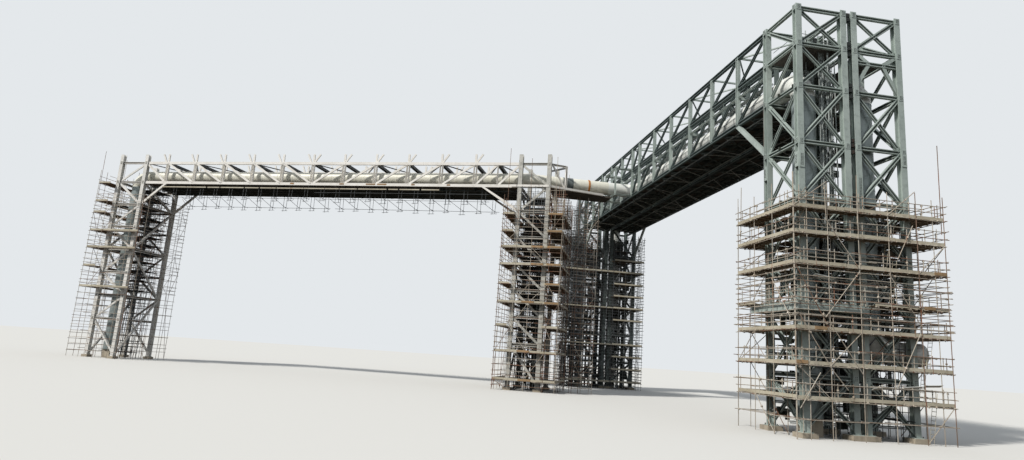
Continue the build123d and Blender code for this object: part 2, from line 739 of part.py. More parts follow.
# Scaffolds of the other towers: decks against the legs, standards at their outer edges.
midLeft, midRight = midTower[1] + oldLegFace, midTower[0] - oldLegFace
frontEdge, backEdge = -oldLegFace - frontReach, oldWidth + oldLegFace + frontReach
midBoards = []
for z in midDecks:
    midBoards.append(oldBlock(midLeft, midLeft + sideReach, frontEdge, backEdge, z, z + boards))
    midBoards.append(oldBlock(midRight - wingReach, midRight, frontEdge, backEdge, z, z + boards))
for z in midFrontDecks:
    midBoards.append(oldBlock(midRight, midLeft, frontEdge, -oldLegFace, z, z + boards))
add("mid_tower_scaffold_decks", midBoards)

leftSide, leftInner = leftTower[1] + oldLegFace, leftTower[0] - oldLegFace
leftBoards = []
for z in leftDecks:
    leftBoards.append(oldBlock(leftSide, leftSide + wingReach, frontEdge, backEdge, z, z + boards))
for z in leftFrontDecks:
    leftBoards.append(oldBlock(leftInner - sideReach, leftSide, frontEdge, -oldLegFace, z, z + boards))
add("left_tower_scaffold_decks", leftBoards)

farEdge = farTowerNear - legFace
farOuter = legD + legFace
farBoards = [box(legA - farOverhang, farOuter, farEdge - farReach, farEdge, z, z + boards) for z in farDecks]
farBoards += [box(farOuter, legD + farSideReach, farEdge - farReach, farTowerRear, z, z + boards) for z in farDecks]
add("far_tower_scaffold_decks", farBoards)


def oldStandard(s, t, z0, z1):
    return oldBlock(s - tube / 2, s + tube / 2, t - tube / 2, t + tube / 2, z0, z1)


posts = []
middle = oldWidth / 2
cornerInset = 0.3
for s in (midLeft + sideReach + tube / 2, midRight - wingReach - tube / 2):
    posts += [oldStandard(s, t, 0, midScaffoldTop) for t in (frontEdge, middle, backEdge)]
posts += [oldStandard(s, frontEdge - tube / 2, 0, midScaffoldTop) for s in (midLeft - cornerInset, midRight + cornerInset)]
for t in (frontEdge, middle, backEdge):
    posts.append(oldStandard(leftSide + wingReach + tube / 2, t, 0, leftScaffoldTop))
posts += [oldStandard(s, frontEdge - tube / 2, 0, leftFrontTop) for s in (leftSide, leftInner - sideReach)]
farPosts = [legA - farOverhang, legA - farOverhang / 2, legB, legC, legD + farSideReach]
posts += [standard(x, farEdge - farReach - tube / 2, farScaffoldTop) for x in farPosts]
add("tower_scaffold_standards", posts)

# Fixed collar platform round the first module of the near tower.
collar = [(legA - legFace, -legFace), (legB + legFace, -legFace), (legB + legFace, towerDepth + legFace),
          (legA - legFace, towerDepth + legFace)]
collarRect = (legA - legFace - collarReach, legC - legFace, -legFace - collarReach, towerDepth + legFace + collarReach)
add("near_tower_collar", plate(collarRect, [collar], level(collarLevel), collarDepth))


def export():
    os.makedirs("parts", exist_ok=True)
    for name, shape in parts.items():
        shape.label = name
        export_step(shape, "parts/" + name + ".step")


export()
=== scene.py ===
import json
import math
import random
import bpy
import numpy
from mathutils import Matrix, Vector


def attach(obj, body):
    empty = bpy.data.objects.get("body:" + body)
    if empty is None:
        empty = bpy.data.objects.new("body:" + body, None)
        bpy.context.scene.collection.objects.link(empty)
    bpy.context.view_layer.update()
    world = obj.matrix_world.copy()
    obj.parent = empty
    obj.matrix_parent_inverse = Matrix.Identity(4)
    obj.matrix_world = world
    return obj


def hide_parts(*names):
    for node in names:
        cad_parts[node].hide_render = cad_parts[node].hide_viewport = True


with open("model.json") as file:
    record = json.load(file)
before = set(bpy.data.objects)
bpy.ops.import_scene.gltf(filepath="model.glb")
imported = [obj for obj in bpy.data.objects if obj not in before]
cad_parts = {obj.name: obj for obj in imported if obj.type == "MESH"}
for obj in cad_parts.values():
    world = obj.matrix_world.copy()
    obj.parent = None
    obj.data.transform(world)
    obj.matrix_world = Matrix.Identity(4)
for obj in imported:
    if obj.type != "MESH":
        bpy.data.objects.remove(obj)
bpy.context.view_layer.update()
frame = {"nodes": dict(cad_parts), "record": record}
record = frame["record"]

# Lengths below are metres of the real bridge; the model is a tenth of it.
modelScale = 0.1
up, down = Vector((0, 0, 1)), Vector((0, 0, -1))
forward, backward = Vector((0, -1, 0)), Vector((0, 1, 0))
leftward, rightward = Vector((-1, 0, 0)), Vector((1, 0, 0))

# The photograph's camera, solved from the steelwork, in model metres.
camera = {
    "place": (-2.8623, -4.3336, 0.44),
    "yaw": -8.669,
    "pitch": 10.988,
    "roll": 3.843,
    "focalPixels": 640.752,
    "imageWidth": 1024,
}

# Setting out of the green twin towers and the twin span.
green = {
    "legs": [0.0, 3.95, 4.88, 8.83],
    "towerDepth": 4.37,
    "farTower": 61.4,
    "levels": [4.3, 8.75, 13.2, 17.65, 22.1, 26.7, 30.3, 33.4],
    "portal": 29.35,
    "foot": 0.71,
    "footingTop": 0.35,
    "stations": [4.37, 9.39, 14.59, 19.79, 24.99, 30.19, 35.39, 38.1, 42.5, 47.2, 51.95, 56.7, 61.4],
    "pipeBay": 7,
    "bottomChord": 26.7,
    "midChord": 30.3,
    "topChord": 33.4,
    "legHalf": 0.25,
}
legs, levels, stations, moduleWidth = green["legs"], green["levels"], green["stations"], green["legs"][1]
modules = [(legs[0], legs[1]), (legs[2], legs[3])]
depth, foot, clear, farY = green["towerDepth"], green["foot"], green["legHalf"], green["farTower"]
bottomChord, midChord, topChord = green["bottomChord"], green["midChord"], green["topChord"]

# Setting out of the older span: s runs along it from the mid tower, t across it.
old = {
    "origin": (-15.35, 39.2),
    "angle": 158.87,
    "width": 7.0,
    "bottom": 26.7,
    "top": 29.8,
    "stations": [0.0, 3.2, 6.4, 11.3, 16.2, 21.1, 26.0, 30.9, 35.8, 40.7, 45.6, 50.5, 55.4, 59.2],
    "midTower": (-3.9, 0.0),
    "leftTower": (59.2, 63.7),
    "tier": 3.5,
    "middle": 7,
    "legHalf": 0.275,
}
oldBottom, oldTop, oldWidth, oldHalf = old["bottom"], old["top"], old["width"], old["legHalf"]
oldTurn = math.radians(old["angle"])
oldDir = Vector((math.cos(oldTurn), math.sin(oldTurn), 0))
oldNormal = Vector((oldDir.y, -oldDir.x, 0))
oldOut = -oldNormal


def here(x, y, z):
    return Vector((x, y, z))


def oldPoint(s, t, z):
    return Vector((*old["origin"], z)) + oldDir * s + oldNormal * t


def addObject(name, data):
    obj = bpy.data.objects.new(name, data)
    bpy.context.scene.collection.objects.link(obj)
    return obj


def setCamera():
    yaw, pitch, roll = (math.radians(camera[k]) for k in ("yaw", "pitch", "roll"))
    ahead = Vector((-math.sin(yaw) * math.cos(pitch), math.cos(yaw) * math.cos(pitch), math.sin(pitch)))
    right = Vector((math.cos(yaw), math.sin(yaw), 0))
    above = right.cross(ahead)
    rolledRight = right * math.cos(roll) + above * math.sin(roll)
    rolledUp = above * math.cos(roll) - right * math.sin(roll)
    data = bpy.data.cameras.new("photoCamera")
    data.sensor_fit = "HORIZONTAL"
    data.sensor_width = 36
    data.lens = camera["focalPixels"] / camera["imageWidth"] * 36
    data.clip_end = 200
    obj = addObject("photoCamera", data)
    turn = Matrix((rolledRight, rolledUp, -ahead)).transposed().to_4x4()
    obj.matrix_world = Matrix.Translation(camera["place"]) @ turn
    bpy.context.scene.camera = obj


setCamera()


def hexColour(text):
    # sRGB hex turned linear
    values = [int(text[i:i + 2], 16) / 255 for i in (1, 3, 5)]
    return tuple(v / 12.92 if v <= 0.04045 else ((v + 0.055) / 1.055) ** 2.4 for v in values) + (1,)


def addNode(tree, kind, links=None, **settings):
    node = tree.nodes.new(kind)
    for key, value in settings.items():
        setattr(node, key, value)
    for key, value in (links or {}).items():
        socket = node.inputs[key]
        if isinstance(value, bpy.types.NodeSocket):
            tree.links.new(value, socket)
        else:
            socket.default_value = value
    return node


# Materials: weathered paint, cladding, concrete, boards, tube. All patterns lie on Object coordinates.
def surface(name, colours, roughness, metallic=0.0, streak=0.5, rustShare=0.62, grain=160.0):
    # base and mottle vary over metres, dirt lies in blotches, rust runs down in streaks
    base, mottle, dirt, rust = (hexColour(text) for text in colours.split())
    material = bpy.data.materials.new(name)
    material.use_nodes = True
    tree = material.node_tree
    tree.nodes.clear()
    place = addNode(tree, "ShaderNodeTexCoord").outputs["Object"]

    def noise(vector, scale, detail, rough=0.5):
        links = {"Vector": vector, "Scale": scale, "Detail": detail, "Roughness": rough}
        return addNode(tree, "ShaderNodeTexNoise", links).outputs[0]

    def ramp(value, low, high, start, end):
        links = {"Value": value, "From Min": low, "From Max": high, "To Min": start, "To Max": end}
        return addNode(tree, "ShaderNodeMapRange", links).outputs[0]

    def mix(share, first, second):
        return addNode(tree, "ShaderNodeMix", {0: share, 6: first, 7: second}, data_type="RGBA").outputs[2]

    mapped = addNode(tree, "ShaderNodeMapping", {"Vector": place, "Scale": (22.0, 22.0, 2.6)})
    fine = noise(place, 26.0, 5.0, 0.62)
    runs = noise(mapped.outputs[0], 1.0, 4.0, 0.6)
    coat = mix(ramp(noise(place, 3.0, 4.0), 0.35, 0.65, 0.0, 1.0), base, mottle)
    coat = mix(ramp(fine, 0.5, 0.72, 0.0, streak), coat, dirt)
    coat = mix(ramp(runs, rustShare, rustShare + 0.1, 0.0, 0.8), coat, rust)
    rough = ramp(fine, 0.0, 1.0, roughness - 0.1, roughness + 0.15)
    height = noise(place, grain, 3.0)
    bump = addNode(tree, "ShaderNodeBump", {"Strength": 0.25, "Distance": 0.002, "Height": height})
    shader = addNode(tree, "ShaderNodeBsdfPrincipled", {
        "Base Color": coat, "Metallic": metallic, "Roughness": rough, "Normal": bump.outputs[0]})
    addNode(tree, "ShaderNodeOutputMaterial", {"Surface": shader.outputs[0]})
    return material


# colours in turn: base, mottle, dirt, rust
finishes = {
    # grey-green topcoat on rolled steel: matt, a little chalky, rust only where bolts weep
    "green_steel": surface("greyGreenTopcoat", "#b0bbb5 #9eaaa4 #78837e #7a5a42", 0.5, rustShare=0.7),
    # older light grey paint: chalky white gone dull, streaked with dirt
    "old_grey_steel": surface(
        "chalkyGreyPaint", "#f4f1eb #e8e4dc #bbb5a8 #8a6244", 0.6, rustShare=0.69, streak=0.35),
    # pipe cladding: cream painted sheet, slightly glossy
    "pipe_cladding": surface(
        "creamCladding", "#e9e7da #dcdacb #b7b2a1 #a08a68", 0.42, rustShare=0.72, streak=0.4),
    # bare galvanised pipe: dull spangled grey
    "service_pipe": surface("galvanisedPipe", "#b2b8b6 #989f9d #737775 #7b6048", 0.45, metallic=0.2),
    # floor plate seen from below: nearly black, darkened as painted shade for the underside of the decks
    "deck_plate": surface("shadedFloorPlate", "#5a534a #463f38 #2b2722 #4f3927", 0.7),
    # cast concrete: sandy grey, water-stained
    "concrete": surface("castConcrete", "#b9ae9b #a79c8a #857b6b #75695a", 0.85, grain=90.0),
    # scaffold boards: sun-bleached softwood with dirty edges, the whole darkened as painted shade for the
    # boards' undersides
    "scaffold_board": surface("shadedWalkedBoards", "#806e57 #6a5943 #46392a #754c2a", 0.8),
    # galvanised scaffold tube: grey, rusting brown at couplers
    "scaffold_tube": surface(
        "galvanisedTube", "#c2bbae #aa9e8e #897865 #8b5b3c", 0.5, metallic=0.15, rustShare=0.59),
}
greenPaint, greyPaint = finishes["green_steel"], finishes["old_grey_steel"]
plainTube, plainBoard = finishes["scaffold_tube"], finishes["scaffold_board"]
# toe boards on edge: bleached grey with a green cast, a few still orange
toeBoard = surface("bleachedToeBoards", "#c6bfab #aea590 #88806f #a8743c", 0.75, rustShare=0.66)
# floor beams and stringers under the decks: the green coat darkened as painted shade for the shade under the
# decks
underDeckShadeSteel = surface("underDeckShadeSteel", "#444d49 #363d3a #242927 #3d2e24", 0.65)
# the same coats where the web lies in its own shade and holds dirt
greenWeb = surface("shadedGreenWeb", "#46504b #3b4440 #262b29 #43342a", 0.6)
greyWeb = surface("shadedGreyWeb", "#7c7870 #6a665e #46423c #5c4735", 0.7)
# tubes that stand in shade: dark grey, a little cool
darkTube = surface("shadedTube", "#64686a #4c4f50 #333536 #4f4238", 0.55, metallic=0.2, rustShare=0.6)
# packers between the modules: nearly black
darkPacker = surface("darkPacker", "#2c312f #232826 #151817 #3d2a1e", 0.7)
# bare sheet round the risers and the twin span's pipes: pale, hardly stained
bareCladding = surface(
    "paleAluminiumCladding", "#eeefea #e4e6e0 #cbcec8 #8d8270", 0.4, rustShare=0.78, streak=0.25)
# the far tower's coat, seen in the shade of the spans: darker and bluer
farGreen = surface("shadedTopcoat", "#727d7a #626d6a #49524f #5c4636", 0.55, rustShare=0.68)
# tubes gone brown all over
rustyTube = surface("rustyTube", "#8b7362 #75604f #5a483b #84533a", 0.65, rustShare=0.5)
# truss diagonals, whose open sides lie in shade: slate green
slateSteel = surface("slateShadedSteel", "#5b6967 #4c5958 #374140 #4d3b2e", 0.55, rustShare=0.7)
# legs and braces of the mid tower: the same pale paint, darker and more streaked
darkerGrey = surface("darkerGreyPaint", "#cbcac3 #b2b1a9 #827f78 #7b5c45", 0.65, rustShare=0.66, streak=0.6)
# the left tower: the same pale paint, lightened further as painted sunlight for the bright sunlit edges of
# its legs
litPaleLeg = surface("litPaleLegPaint", "#efede8 #dcdad4 #a3a098 #7d5a40", 0.62, rustShare=0.68, streak=0.4)
# steel and boards that only see shade: near black, a little warm
shadedGrey = surface("shadedGreySteel", "#484a4c #3b3d3f #292a2b #43362c", 0.65, rustShare=0.7)
shadedBoard = surface("shadedBoards", "#59524a #48423c #302c28 #5a4230", 0.85, rustShare=0.66)
# risers in the towers: bare aluminium, the pale cladding darkened as painted shade, with a blue cast painted
# for the sky it reflects
shadedRiser = surface(
    "shadedRiserCladding", "#99a3a2 #8a9493 #6d7675 #6e6558", 0.4, metallic=0.25, rustShare=0.76)
# boards still orange from the mill
freshBoard = surface("freshBoards", "#a98d6b #8f7554 #6d5a43 #b0804c", 0.75, rustShare=0.6)
# sheets of pale plastic and tin tied to the rails
paleSheet = surface("paleSheeting", "#e6e8e4 #d3d7d3 #a9ada8 #8c8474", 0.55, rustShare=0.75)
# bands on the cross pipe: a dark lagged length and one orange collar
darkBand = surface("darkLaggedBand", "#6d7473 #5b6261 #454a49 #5c4a3a", 0.6)
orangeBand = surface("orangeCollar", "#c8823c #b0702f #805632 #7a4a2a", 0.55)
# small pipes, trays and boxes inside the towers: dull zinc, and lagging painted near black as shade for the
# dark insides of the towers
dullZinc = surface("dullZinc", "#9fa5a2 #868c8a #5f6462 #6b5545", 0.5, metallic=0.35)
shadeBlackLagging = surface("shadeBlackLagging", "#41463f #33382f #1f221e #4a3628", 0.7)

slotOf = {row["node"]: row["material_slot"] for row in record["subparts"]}
special = {"far_tower_legs": farGreen, "mid_tower_legs": darkerGrey, "left_tower_legs": litPaleLeg}
for name, obj in frame["nodes"].items():
    obj.data.materials.clear()
    obj.data.materials.append(special.get(name, finishes[slotOf[name]]))
print("stage: materials on", len(frame["nodes"]), "nodes")


# Geometry Nodes trees.
def newTree(name, inputs):
    tree = bpy.data.node_groups.new(name, "GeometryNodeTree")
    for label, kind in [("Geometry", "Geometry")] + inputs:
        tree.interface.new_socket(label, in_out="INPUT", socket_type="NodeSocket" + kind)
    tree.interface.new_socket("Geometry", in_out="OUTPUT", socket_type="NodeSocketGeometry")
    return tree, tree.nodes.new("NodeGroupInput").outputs, tree.nodes.new("NodeGroupOutput").inputs[0]


def coated(tree, shape, material):
    return addNode(tree, "GeometryNodeSetMaterial", {"Geometry": shape, "Material": material}).outputs[0]


def atPoints(tree, source, unitShape):
    # one unit shape at each point, turned and sized by the point's own attributes
    turn, size = (addNode(tree, "GeometryNodeInputNamedAttribute", {"Name": label}, data_type="FLOAT_VECTOR")
                  for label in ("turn", "size"))
    rotation = addNode(tree, "FunctionNodeEulerToRotation", {0: turn.outputs[0]})
    placed = addNode(tree, "GeometryNodeInstanceOnPoints", {
        "Points": source["Geometry"], "Instance": unitShape, "Rotation": rotation.outputs[0],
        "Scale": size.outputs[0]})
    return addNode(tree, "GeometryNodeRealizeInstances", {0: placed.outputs[0]}).outputs[0]


def sectionTree():
    # rolled section: two flanges and a web, one unit long
    tree, source, outlet = newTree("rolledSection", [
        ("Flange", "Float"), ("Web", "Float"), ("Material", "Material"), ("Web Material", "Material")])

    def sized(value, factor, plus):
        links = {0: value, 1: factor, 2: plus}
        return addNode(tree, "ShaderNodeMath", links, operation="MULTIPLY_ADD").outputs[0]

    def plate(x, y, offset, material):
        size = addNode(tree, "ShaderNodeCombineXYZ", {"X": x, "Y": y, "Z": 1.0}).outputs[0]
        shape = addNode(tree, "GeometryNodeMeshCube", {"Size": size}).outputs[0]
        if offset:
            place = addNode(tree, "ShaderNodeCombineXYZ", {"X": offset}).outputs[0]
            links = {"Geometry": shape, "Translation": place}
            shape = addNode(tree, "GeometryNodeTransform", links).outputs[0]
        tree.links.new(coated(tree, shape, material), joined.inputs[0])

    joined = addNode(tree, "GeometryNodeJoinGeometry")
    half = sized(source["Flange"], -0.5, 0.5)
    for offset in (half, sized(half, -1.0, 0.0)):
        plate(source["Flange"], 1.0, offset, source["Material"])
    plate(sized(source["Flange"], -2.0, 1.0), source["Web"], None, source["Web Material"])
    tree.links.new(atPoints(tree, source, joined.outputs[0]), outlet)
    return tree


def unitTree(name, kind, links):
    # plate, plank, packer or bolt head: one solid, a unit across and a unit high
    tree, source, outlet = newTree(name, [("Material", "Material")])
    shape = addNode(tree, kind, links).outputs[0]
    tree.links.new(coated(tree, atPoints(tree, source, shape), source["Material"]), outlet)
    return tree


def tubeTree():
    # round tube along each edge of the given lines
    inputs = [("Radius", "Float"), ("Sides", "Int"), ("Material", "Material")]
    tree, source, outlet = newTree("tubeAlongLines", inputs)
    lines = addNode(tree, "GeometryNodeMeshToCurve", {0: source["Geometry"]})
    ring = addNode(tree, "GeometryNodeCurvePrimitiveCircle", {
        "Resolution": source["Sides"], "Radius": source["Radius"]})
    swept = addNode(tree, "GeometryNodeCurveToMesh", {
        "Curve": lines.outputs[0], "Profile Curve": ring.outputs[0], "Fill Caps": True})
    made = addNode(tree, "GeometryNodeRealizeInstances", {0: swept.outputs[0]})
    tree.links.new(coated(tree, made.outputs[0], source["Material"]), outlet)
    return tree


trees = {
    "section": sectionTree(),
    "block": unitTree("squaredBlock", "GeometryNodeMeshCube", {}),
    "bolt": unitTree("hexBolt", "GeometryNodeMeshCylinder", {"Vertices": 6, "Radius": 0.5, "Depth": 1.0}),
    "tube": tubeTree(),
}


def runTree(mesh, tree, values):
    # evaluates one tree on a mesh and keeps the plain result
    holder = addObject("source", mesh)
    modifier = holder.modifiers.new("nodes", "NODES")
    modifier.node_group = tree
    for item in tree.interface.items_tree:
        if item.in_out == "INPUT" and item.name in values:
            modifier[item.identifier] = values[item.name]
    made = bpy.data.meshes.new_from_object(holder.evaluated_get(bpy.context.evaluated_depsgraph_get()))
    bpy.data.objects.remove(holder)
    return made


def pointMesh(items):
    # one vertex for each item (centre, turn, size), all in real metres
    mesh = bpy.data.meshes.new("points")
    mesh.from_pydata([item[0] * modelScale for item in items], [], [])
    turns, sizes = [v for item in items for v in item[1]], [v * modelScale for item in items for v in item[2]]
    for label, values in (("turn", turns), ("size", sizes)):
        mesh.attributes.new(label, "FLOAT_VECTOR", "POINT").data.foreach_set("vector", values)
    return mesh


def lineMesh(lines):
    mesh = bpy.data.meshes.new("lines")
    points = [Vector(p) * modelScale for line in lines for p in line]
    mesh.from_pydata(points, [(i, i + 1) for i in range(0, len(points), 2)], [])
    return mesh


meshLayers = [
    ("vertices", "co", numpy.float32),
    ("loops", "vertex_index", numpy.int32),
    ("polygons", "loop_total", numpy.int32),
    ("polygons", "material_index", numpy.int32),
    ("polygons", "use_smooth", bool),
]


def keep(name, meshes, slotName, *replaced):
    # joins finished meshes into one piece that rides on the bridge
    materials, parts, base = [], [], 0
    for mesh in meshes:
        arrays = []
        for layer, field, kind in meshLayers:
            items = getattr(mesh, layer)
            arrays.append(numpy.empty(len(items) * (3 if field == "co" else 1), kind))
            items.foreach_get(field, arrays[-1])
        for material in mesh.materials:
            if material not in materials:
                materials.append(material)
        arrays[1] += base
        arrays[3] = numpy.array([materials.index(m) for m in mesh.materials], numpy.int32)[arrays[3]]
        base += len(mesh.vertices)
        parts.append(arrays)
    points, corners, totals, owners, smooth = (numpy.concatenate(arrays) for arrays in zip(*parts))
    whole = bpy.data.meshes.new(name)
    whole.vertices.add(base)
    whole.vertices.foreach_set("co", points)
    whole.loops.add(len(corners))
    whole.loops.foreach_set("vertex_index", corners)
    whole.polygons.add(len(totals))
    starts = numpy.concatenate([[0], numpy.cumsum(totals)[:-1]])
    whole.polygons.foreach_set("loop_start", starts.astype(numpy.int32))
    whole.polygons.foreach_set("material_index", owners)
    whole.polygons.foreach_set("use_smooth", smooth)
    for material in materials:
        whole.materials.append(material)
    whole.update(calc_edges=True)
    if smooth.any():
        whole.set_sharp_from_angle(angle=math.radians(35))
    obj = addObject(name, whole)
    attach(obj, "root")
    if replaced:
        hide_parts(*replaced)


def aim(along, facing):
    # Euler turn whose z runs along a member and whose y faces outward
    z = along.normalized()
    y = (facing - z * facing.dot(z)).normalized()
    return Matrix((y.cross(z), y, z)).transposed().to_euler()


def member(p, q, facing, wide, deep, shift=0.0, flat=False):
    # a bar from p to q; flat turns the section so that a flange faces outward
    p, q = Vector(p), Vector(q)
    turn = aim(q - p, facing)
    size = (wide, deep, (q - p).length)
    if flat:
        turn = aim(q - p, Matrix(turn.to_matrix()).col[0])
        size = (deep, wide, (q - p).length)
    return ((p + q) / 2 + facing * shift, turn, size)


def block(centre, along, facing, size):
    # size: across, towards the facing side, along
    return (Vector(centre), aim(Vector(along), Vector(facing)), size)


# flange and web are shares of a section's width and depth; the rest is in metres
steel = {"flange": 0.2, "web": 0.18, "bolt": 0.055, "boltHead": 0.035, "headLift": 0.012, "brace": 0.28}


def sections(items, material, webMaterial):
    return runTree(pointMesh(items), trees["section"], {
        "Flange": steel["flange"], "Web": steel["web"], "Material": material, "Web Material": webMaterial})


def blocks(items, material, tree="block"):
    return runTree(pointMesh(items), trees[tree], {"Material": material})


def tubes(lines, radius, material, sides=6):
    return runTree(lineMesh(lines), trees["tube"], {
        "Radius": radius * modelScale, "Sides": sides, "Material": material})


def boltGrid(centre, along, facing, columns, rows, pitch, proud):
    # bolt heads on a plate, proud of its face
    z, y = Vector(along).normalized(), Vector(facing).normalized()
    x = y.cross(z)
    turn, size, found = aim(y, z), (steel["bolt"], steel["bolt"], steel["boltHead"]), []
    for i in range(columns):
        for j in range(rows):
            across, rise = x * (i - (columns - 1) / 2) * pitch, z * (j - (rows - 1) / 2) * pitch
            found.append((Vector(centre) + across + rise + y * proud, turn, size))
    return found


gusset = {"inset": 0.22, "spare": 0.1, "thick": 0.35, "long": 0.5, "pitch": 0.13}
# of two crossed diagonals the second is slimmer, by this share, and passes behind the first
crossing = {"slim": 0.62, "behind": 0.02}


def panel(origin, along, outward, us, vs, marks, clear, foot=None, deep=0.26, strut=0.3, posts=None, ends=0,
          flat="", gussets=True, slants=None, flatChords=False):
    # members, gusset plates and bolts of one upright lattice
    def at(u, v):
        return Vector(origin) + along * u + Vector((0, 0, v))

    bars, plates, heads, wide = [], [], [], steel["brace"]
    slants = bars if slants is None else slants
    rows = ([foot] if foot else []) + vs
    for j, (low, high) in enumerate(zip(rows, rows[1:])):
        for i, (left, right) in enumerate(zip(us, us[1:])):
            mark = marks[j][i] if isinstance(marks[j], list) else marks[j]
            # in the lowest row the feet of the diagonals stand beside the legs, level with the foot
            spare = clear if foot and j == 0 else 0
            rising, falling = ("/", left + spare, low, right, high), ("\\", left, high, right - spare, low)
            for kind, u0, v0, u1, v1 in (rising, falling):
                if mark not in ("X", kind):
                    continue
                length = math.hypot(u1 - u0, v1 - v0)
                du, dv = (u1 - u0) / length, (v1 - v0) / length
                trimFirst = max(0.0, clear - (u0 - left)) / abs(du)
                trimLast = max(0.0, clear - (right - u1)) / abs(du)
                p = at(u0 + du * trimFirst, v0 + dv * trimFirst)
                q = at(u1 - du * trimLast, v1 - dv * trimLast)
                second = kind == "\\"
                thick, shift = (deep * crossing["slim"], -crossing["behind"]) if second else (deep, 0.0)
                slants.append(member(p, q, outward, wide, thick, shift, kind in flat))
                for end, sign in ((p, 1), (q, -1)) if gussets else ():
                    centre = end + (q - p).normalized() * sign * gusset["inset"]
                    size = (wide + gusset["spare"], deep * gusset["thick"], gusset["long"])
                    plates.append(block(centre, q - p, outward, size))
                    for side in (outward, -outward):
                        proud = size[1] / 2 + steel["headLift"]
                        heads += boltGrid(centre, q - p, side, 2, 3, gusset["pitch"], proud)
    for v in vs:
        p, q = at(us[0] + (clear or ends), v), at(us[-1] - (clear or ends), v)
        slants.append(member(p, q, outward, strut, deep, flat=flatChords))
    if posts:
        bars += [member(at(u, vs[0]), at(u, vs[-1]), outward, posts, deep + 0.04) for u in us[1:-1]]
    return bars, plates, heads


def paint(name, node, panels, slotName="green_steel", finish=None, slants=()):
    # a finished steel piece from several panels; slants are diagonals in the shaded finish
    finish = finish or finishes[slotName]
    bars, plates, heads = ([item for made in panels for item in made[i]] for i in range(3))
    meshes = [sections(bars, finish, greenWeb if slotName == "green_steel" else greyWeb)]
    if slants:
        meshes.append(sections(slants, slateSteel, greenWeb))
    if plates:
        meshes += [blocks(plates, finish), blocks(heads, finish, "bolt")]
    keep(name, meshes, slotName, node)


# Near tower front: crossed bracing, with a portal frame in the second module.
webClear, portal, cross = 0.03, green["portal"], ["X"] * 6
portalLevels = levels[:6] + [portal] + levels[6:]
knees = [(legs[2], 27.05, 0.35), (legs[3], 26.9, 0.65), (legs[2], midChord, 0.35), (legs[3], midChord, 0.65)]
portalBars = [member((x, 0, z), (legs[2] + moduleWidth * share, 0, portal), forward, 0.28, 0.2, flat=True)
              for x, z, share in knees]
paint("nearTowerFrontBracing", "near_tower_front_bracing", [
    panel((0, 0, 0), rightward, forward, modules[0], levels, ["X"] * 8, webClear, foot),
    panel((0, 0, 0), rightward, forward, modules[1], portalLevels, cross + [" ", " ", "X"], webClear, foot),
    (portalBars, [], [])])

crossed, zigzag, strutsOnly = cross + ["\\", "/"], ["/", "\\"] * 4, [" "] * 8


def sideWall(name, node, x, y, outward, marks, finish=None):
    made = panel((x, y, 0), backward, outward, [0, depth], levels, marks, clear, foot)
    paint(name, node, [made], finish=finish)


def crossWall(name, node, y, outward, vs, marks, finish=None):
    made = [panel((0, y, 0), rightward, outward, m, vs, marks, webClear, foot) for m in modules]
    paint(name, node, made, finish=finish)


sideWall("nearTowerLeftBracing", "near_tower_left_side_bracing", legs[0], 0, leftward, crossed)
openLow = ["X", " "] + crossed[2:]  # the low branch pipe leaves through the second tier
sideWall("nearTowerRightBracing", "near_tower_right_side_bracing", legs[3], 0, rightward, openLow)
sideWall("nearTowerInnerStrutsLeft", "near_tower_inner_struts_left", legs[1], 0, leftward, strutsOnly)
sideWall("nearTowerInnerStrutsRight", "near_tower_inner_struts_right", legs[2], 0, leftward, strutsOnly)
crossWall("nearTowerRearStruts", "near_tower_rear_struts", depth, backward, levels, strutsOnly)
crossWall("farTowerNearBracing", "far_tower_near_bracing", farY, forward, levels[:6], zigzag, farGreen)
crossWall("farTowerRearBracing", "far_tower_rear_bracing", farY + depth, backward, levels, zigzag, farGreen)
sideWall("farTowerLeftBracing", "far_tower_left_side_bracing", legs[0], farY, leftward, zigzag, farGreen)
sideWall("farTowerRightBracing", "far_tower_right_side_bracing", legs[3], farY, rightward, zigzag, farGreen)
print("stage: green tower bracing")

# Twin span trusses; the large pipe of the old span comes in through the open bay of the near one.
bays, pipeBay = len(stations) - 1, green["pipeBay"]
solo, bare = ["\\"] * bays, [" "] * bays
lowerMarks = solo[:pipeBay] + [" "] + solo[pipeBay + 1:]
for name, node, x, low, high in (
        ("spanTrussNear", "span_truss_near", legs[0], lowerMarks, solo),
        ("spanTrussInnerLeft", "span_truss_inner_left", legs[1], bare, solo),
        ("spanTrussInnerRight", "span_truss_inner_right", legs[2], bare, bare),
        ("spanTrussFar", "span_truss_far", legs[3], solo, solo)):
    # diagonals and chords go in the slate finish and the inner trusses in the shaded far coat, both as
    # painted shade
    slants = []
    made = panel((x, 0, 0), backward, leftward, stations, [bottomChord, midChord, topChord], [low, high], 0,
                 deep=0.28, strut=0.38, posts=0.34, ends=clear, gussets=False, slants=slants)
    paint(name, node, [made], finish=farGreen if "Inner" in name else None, slants=slants)
print("stage: span trusses")

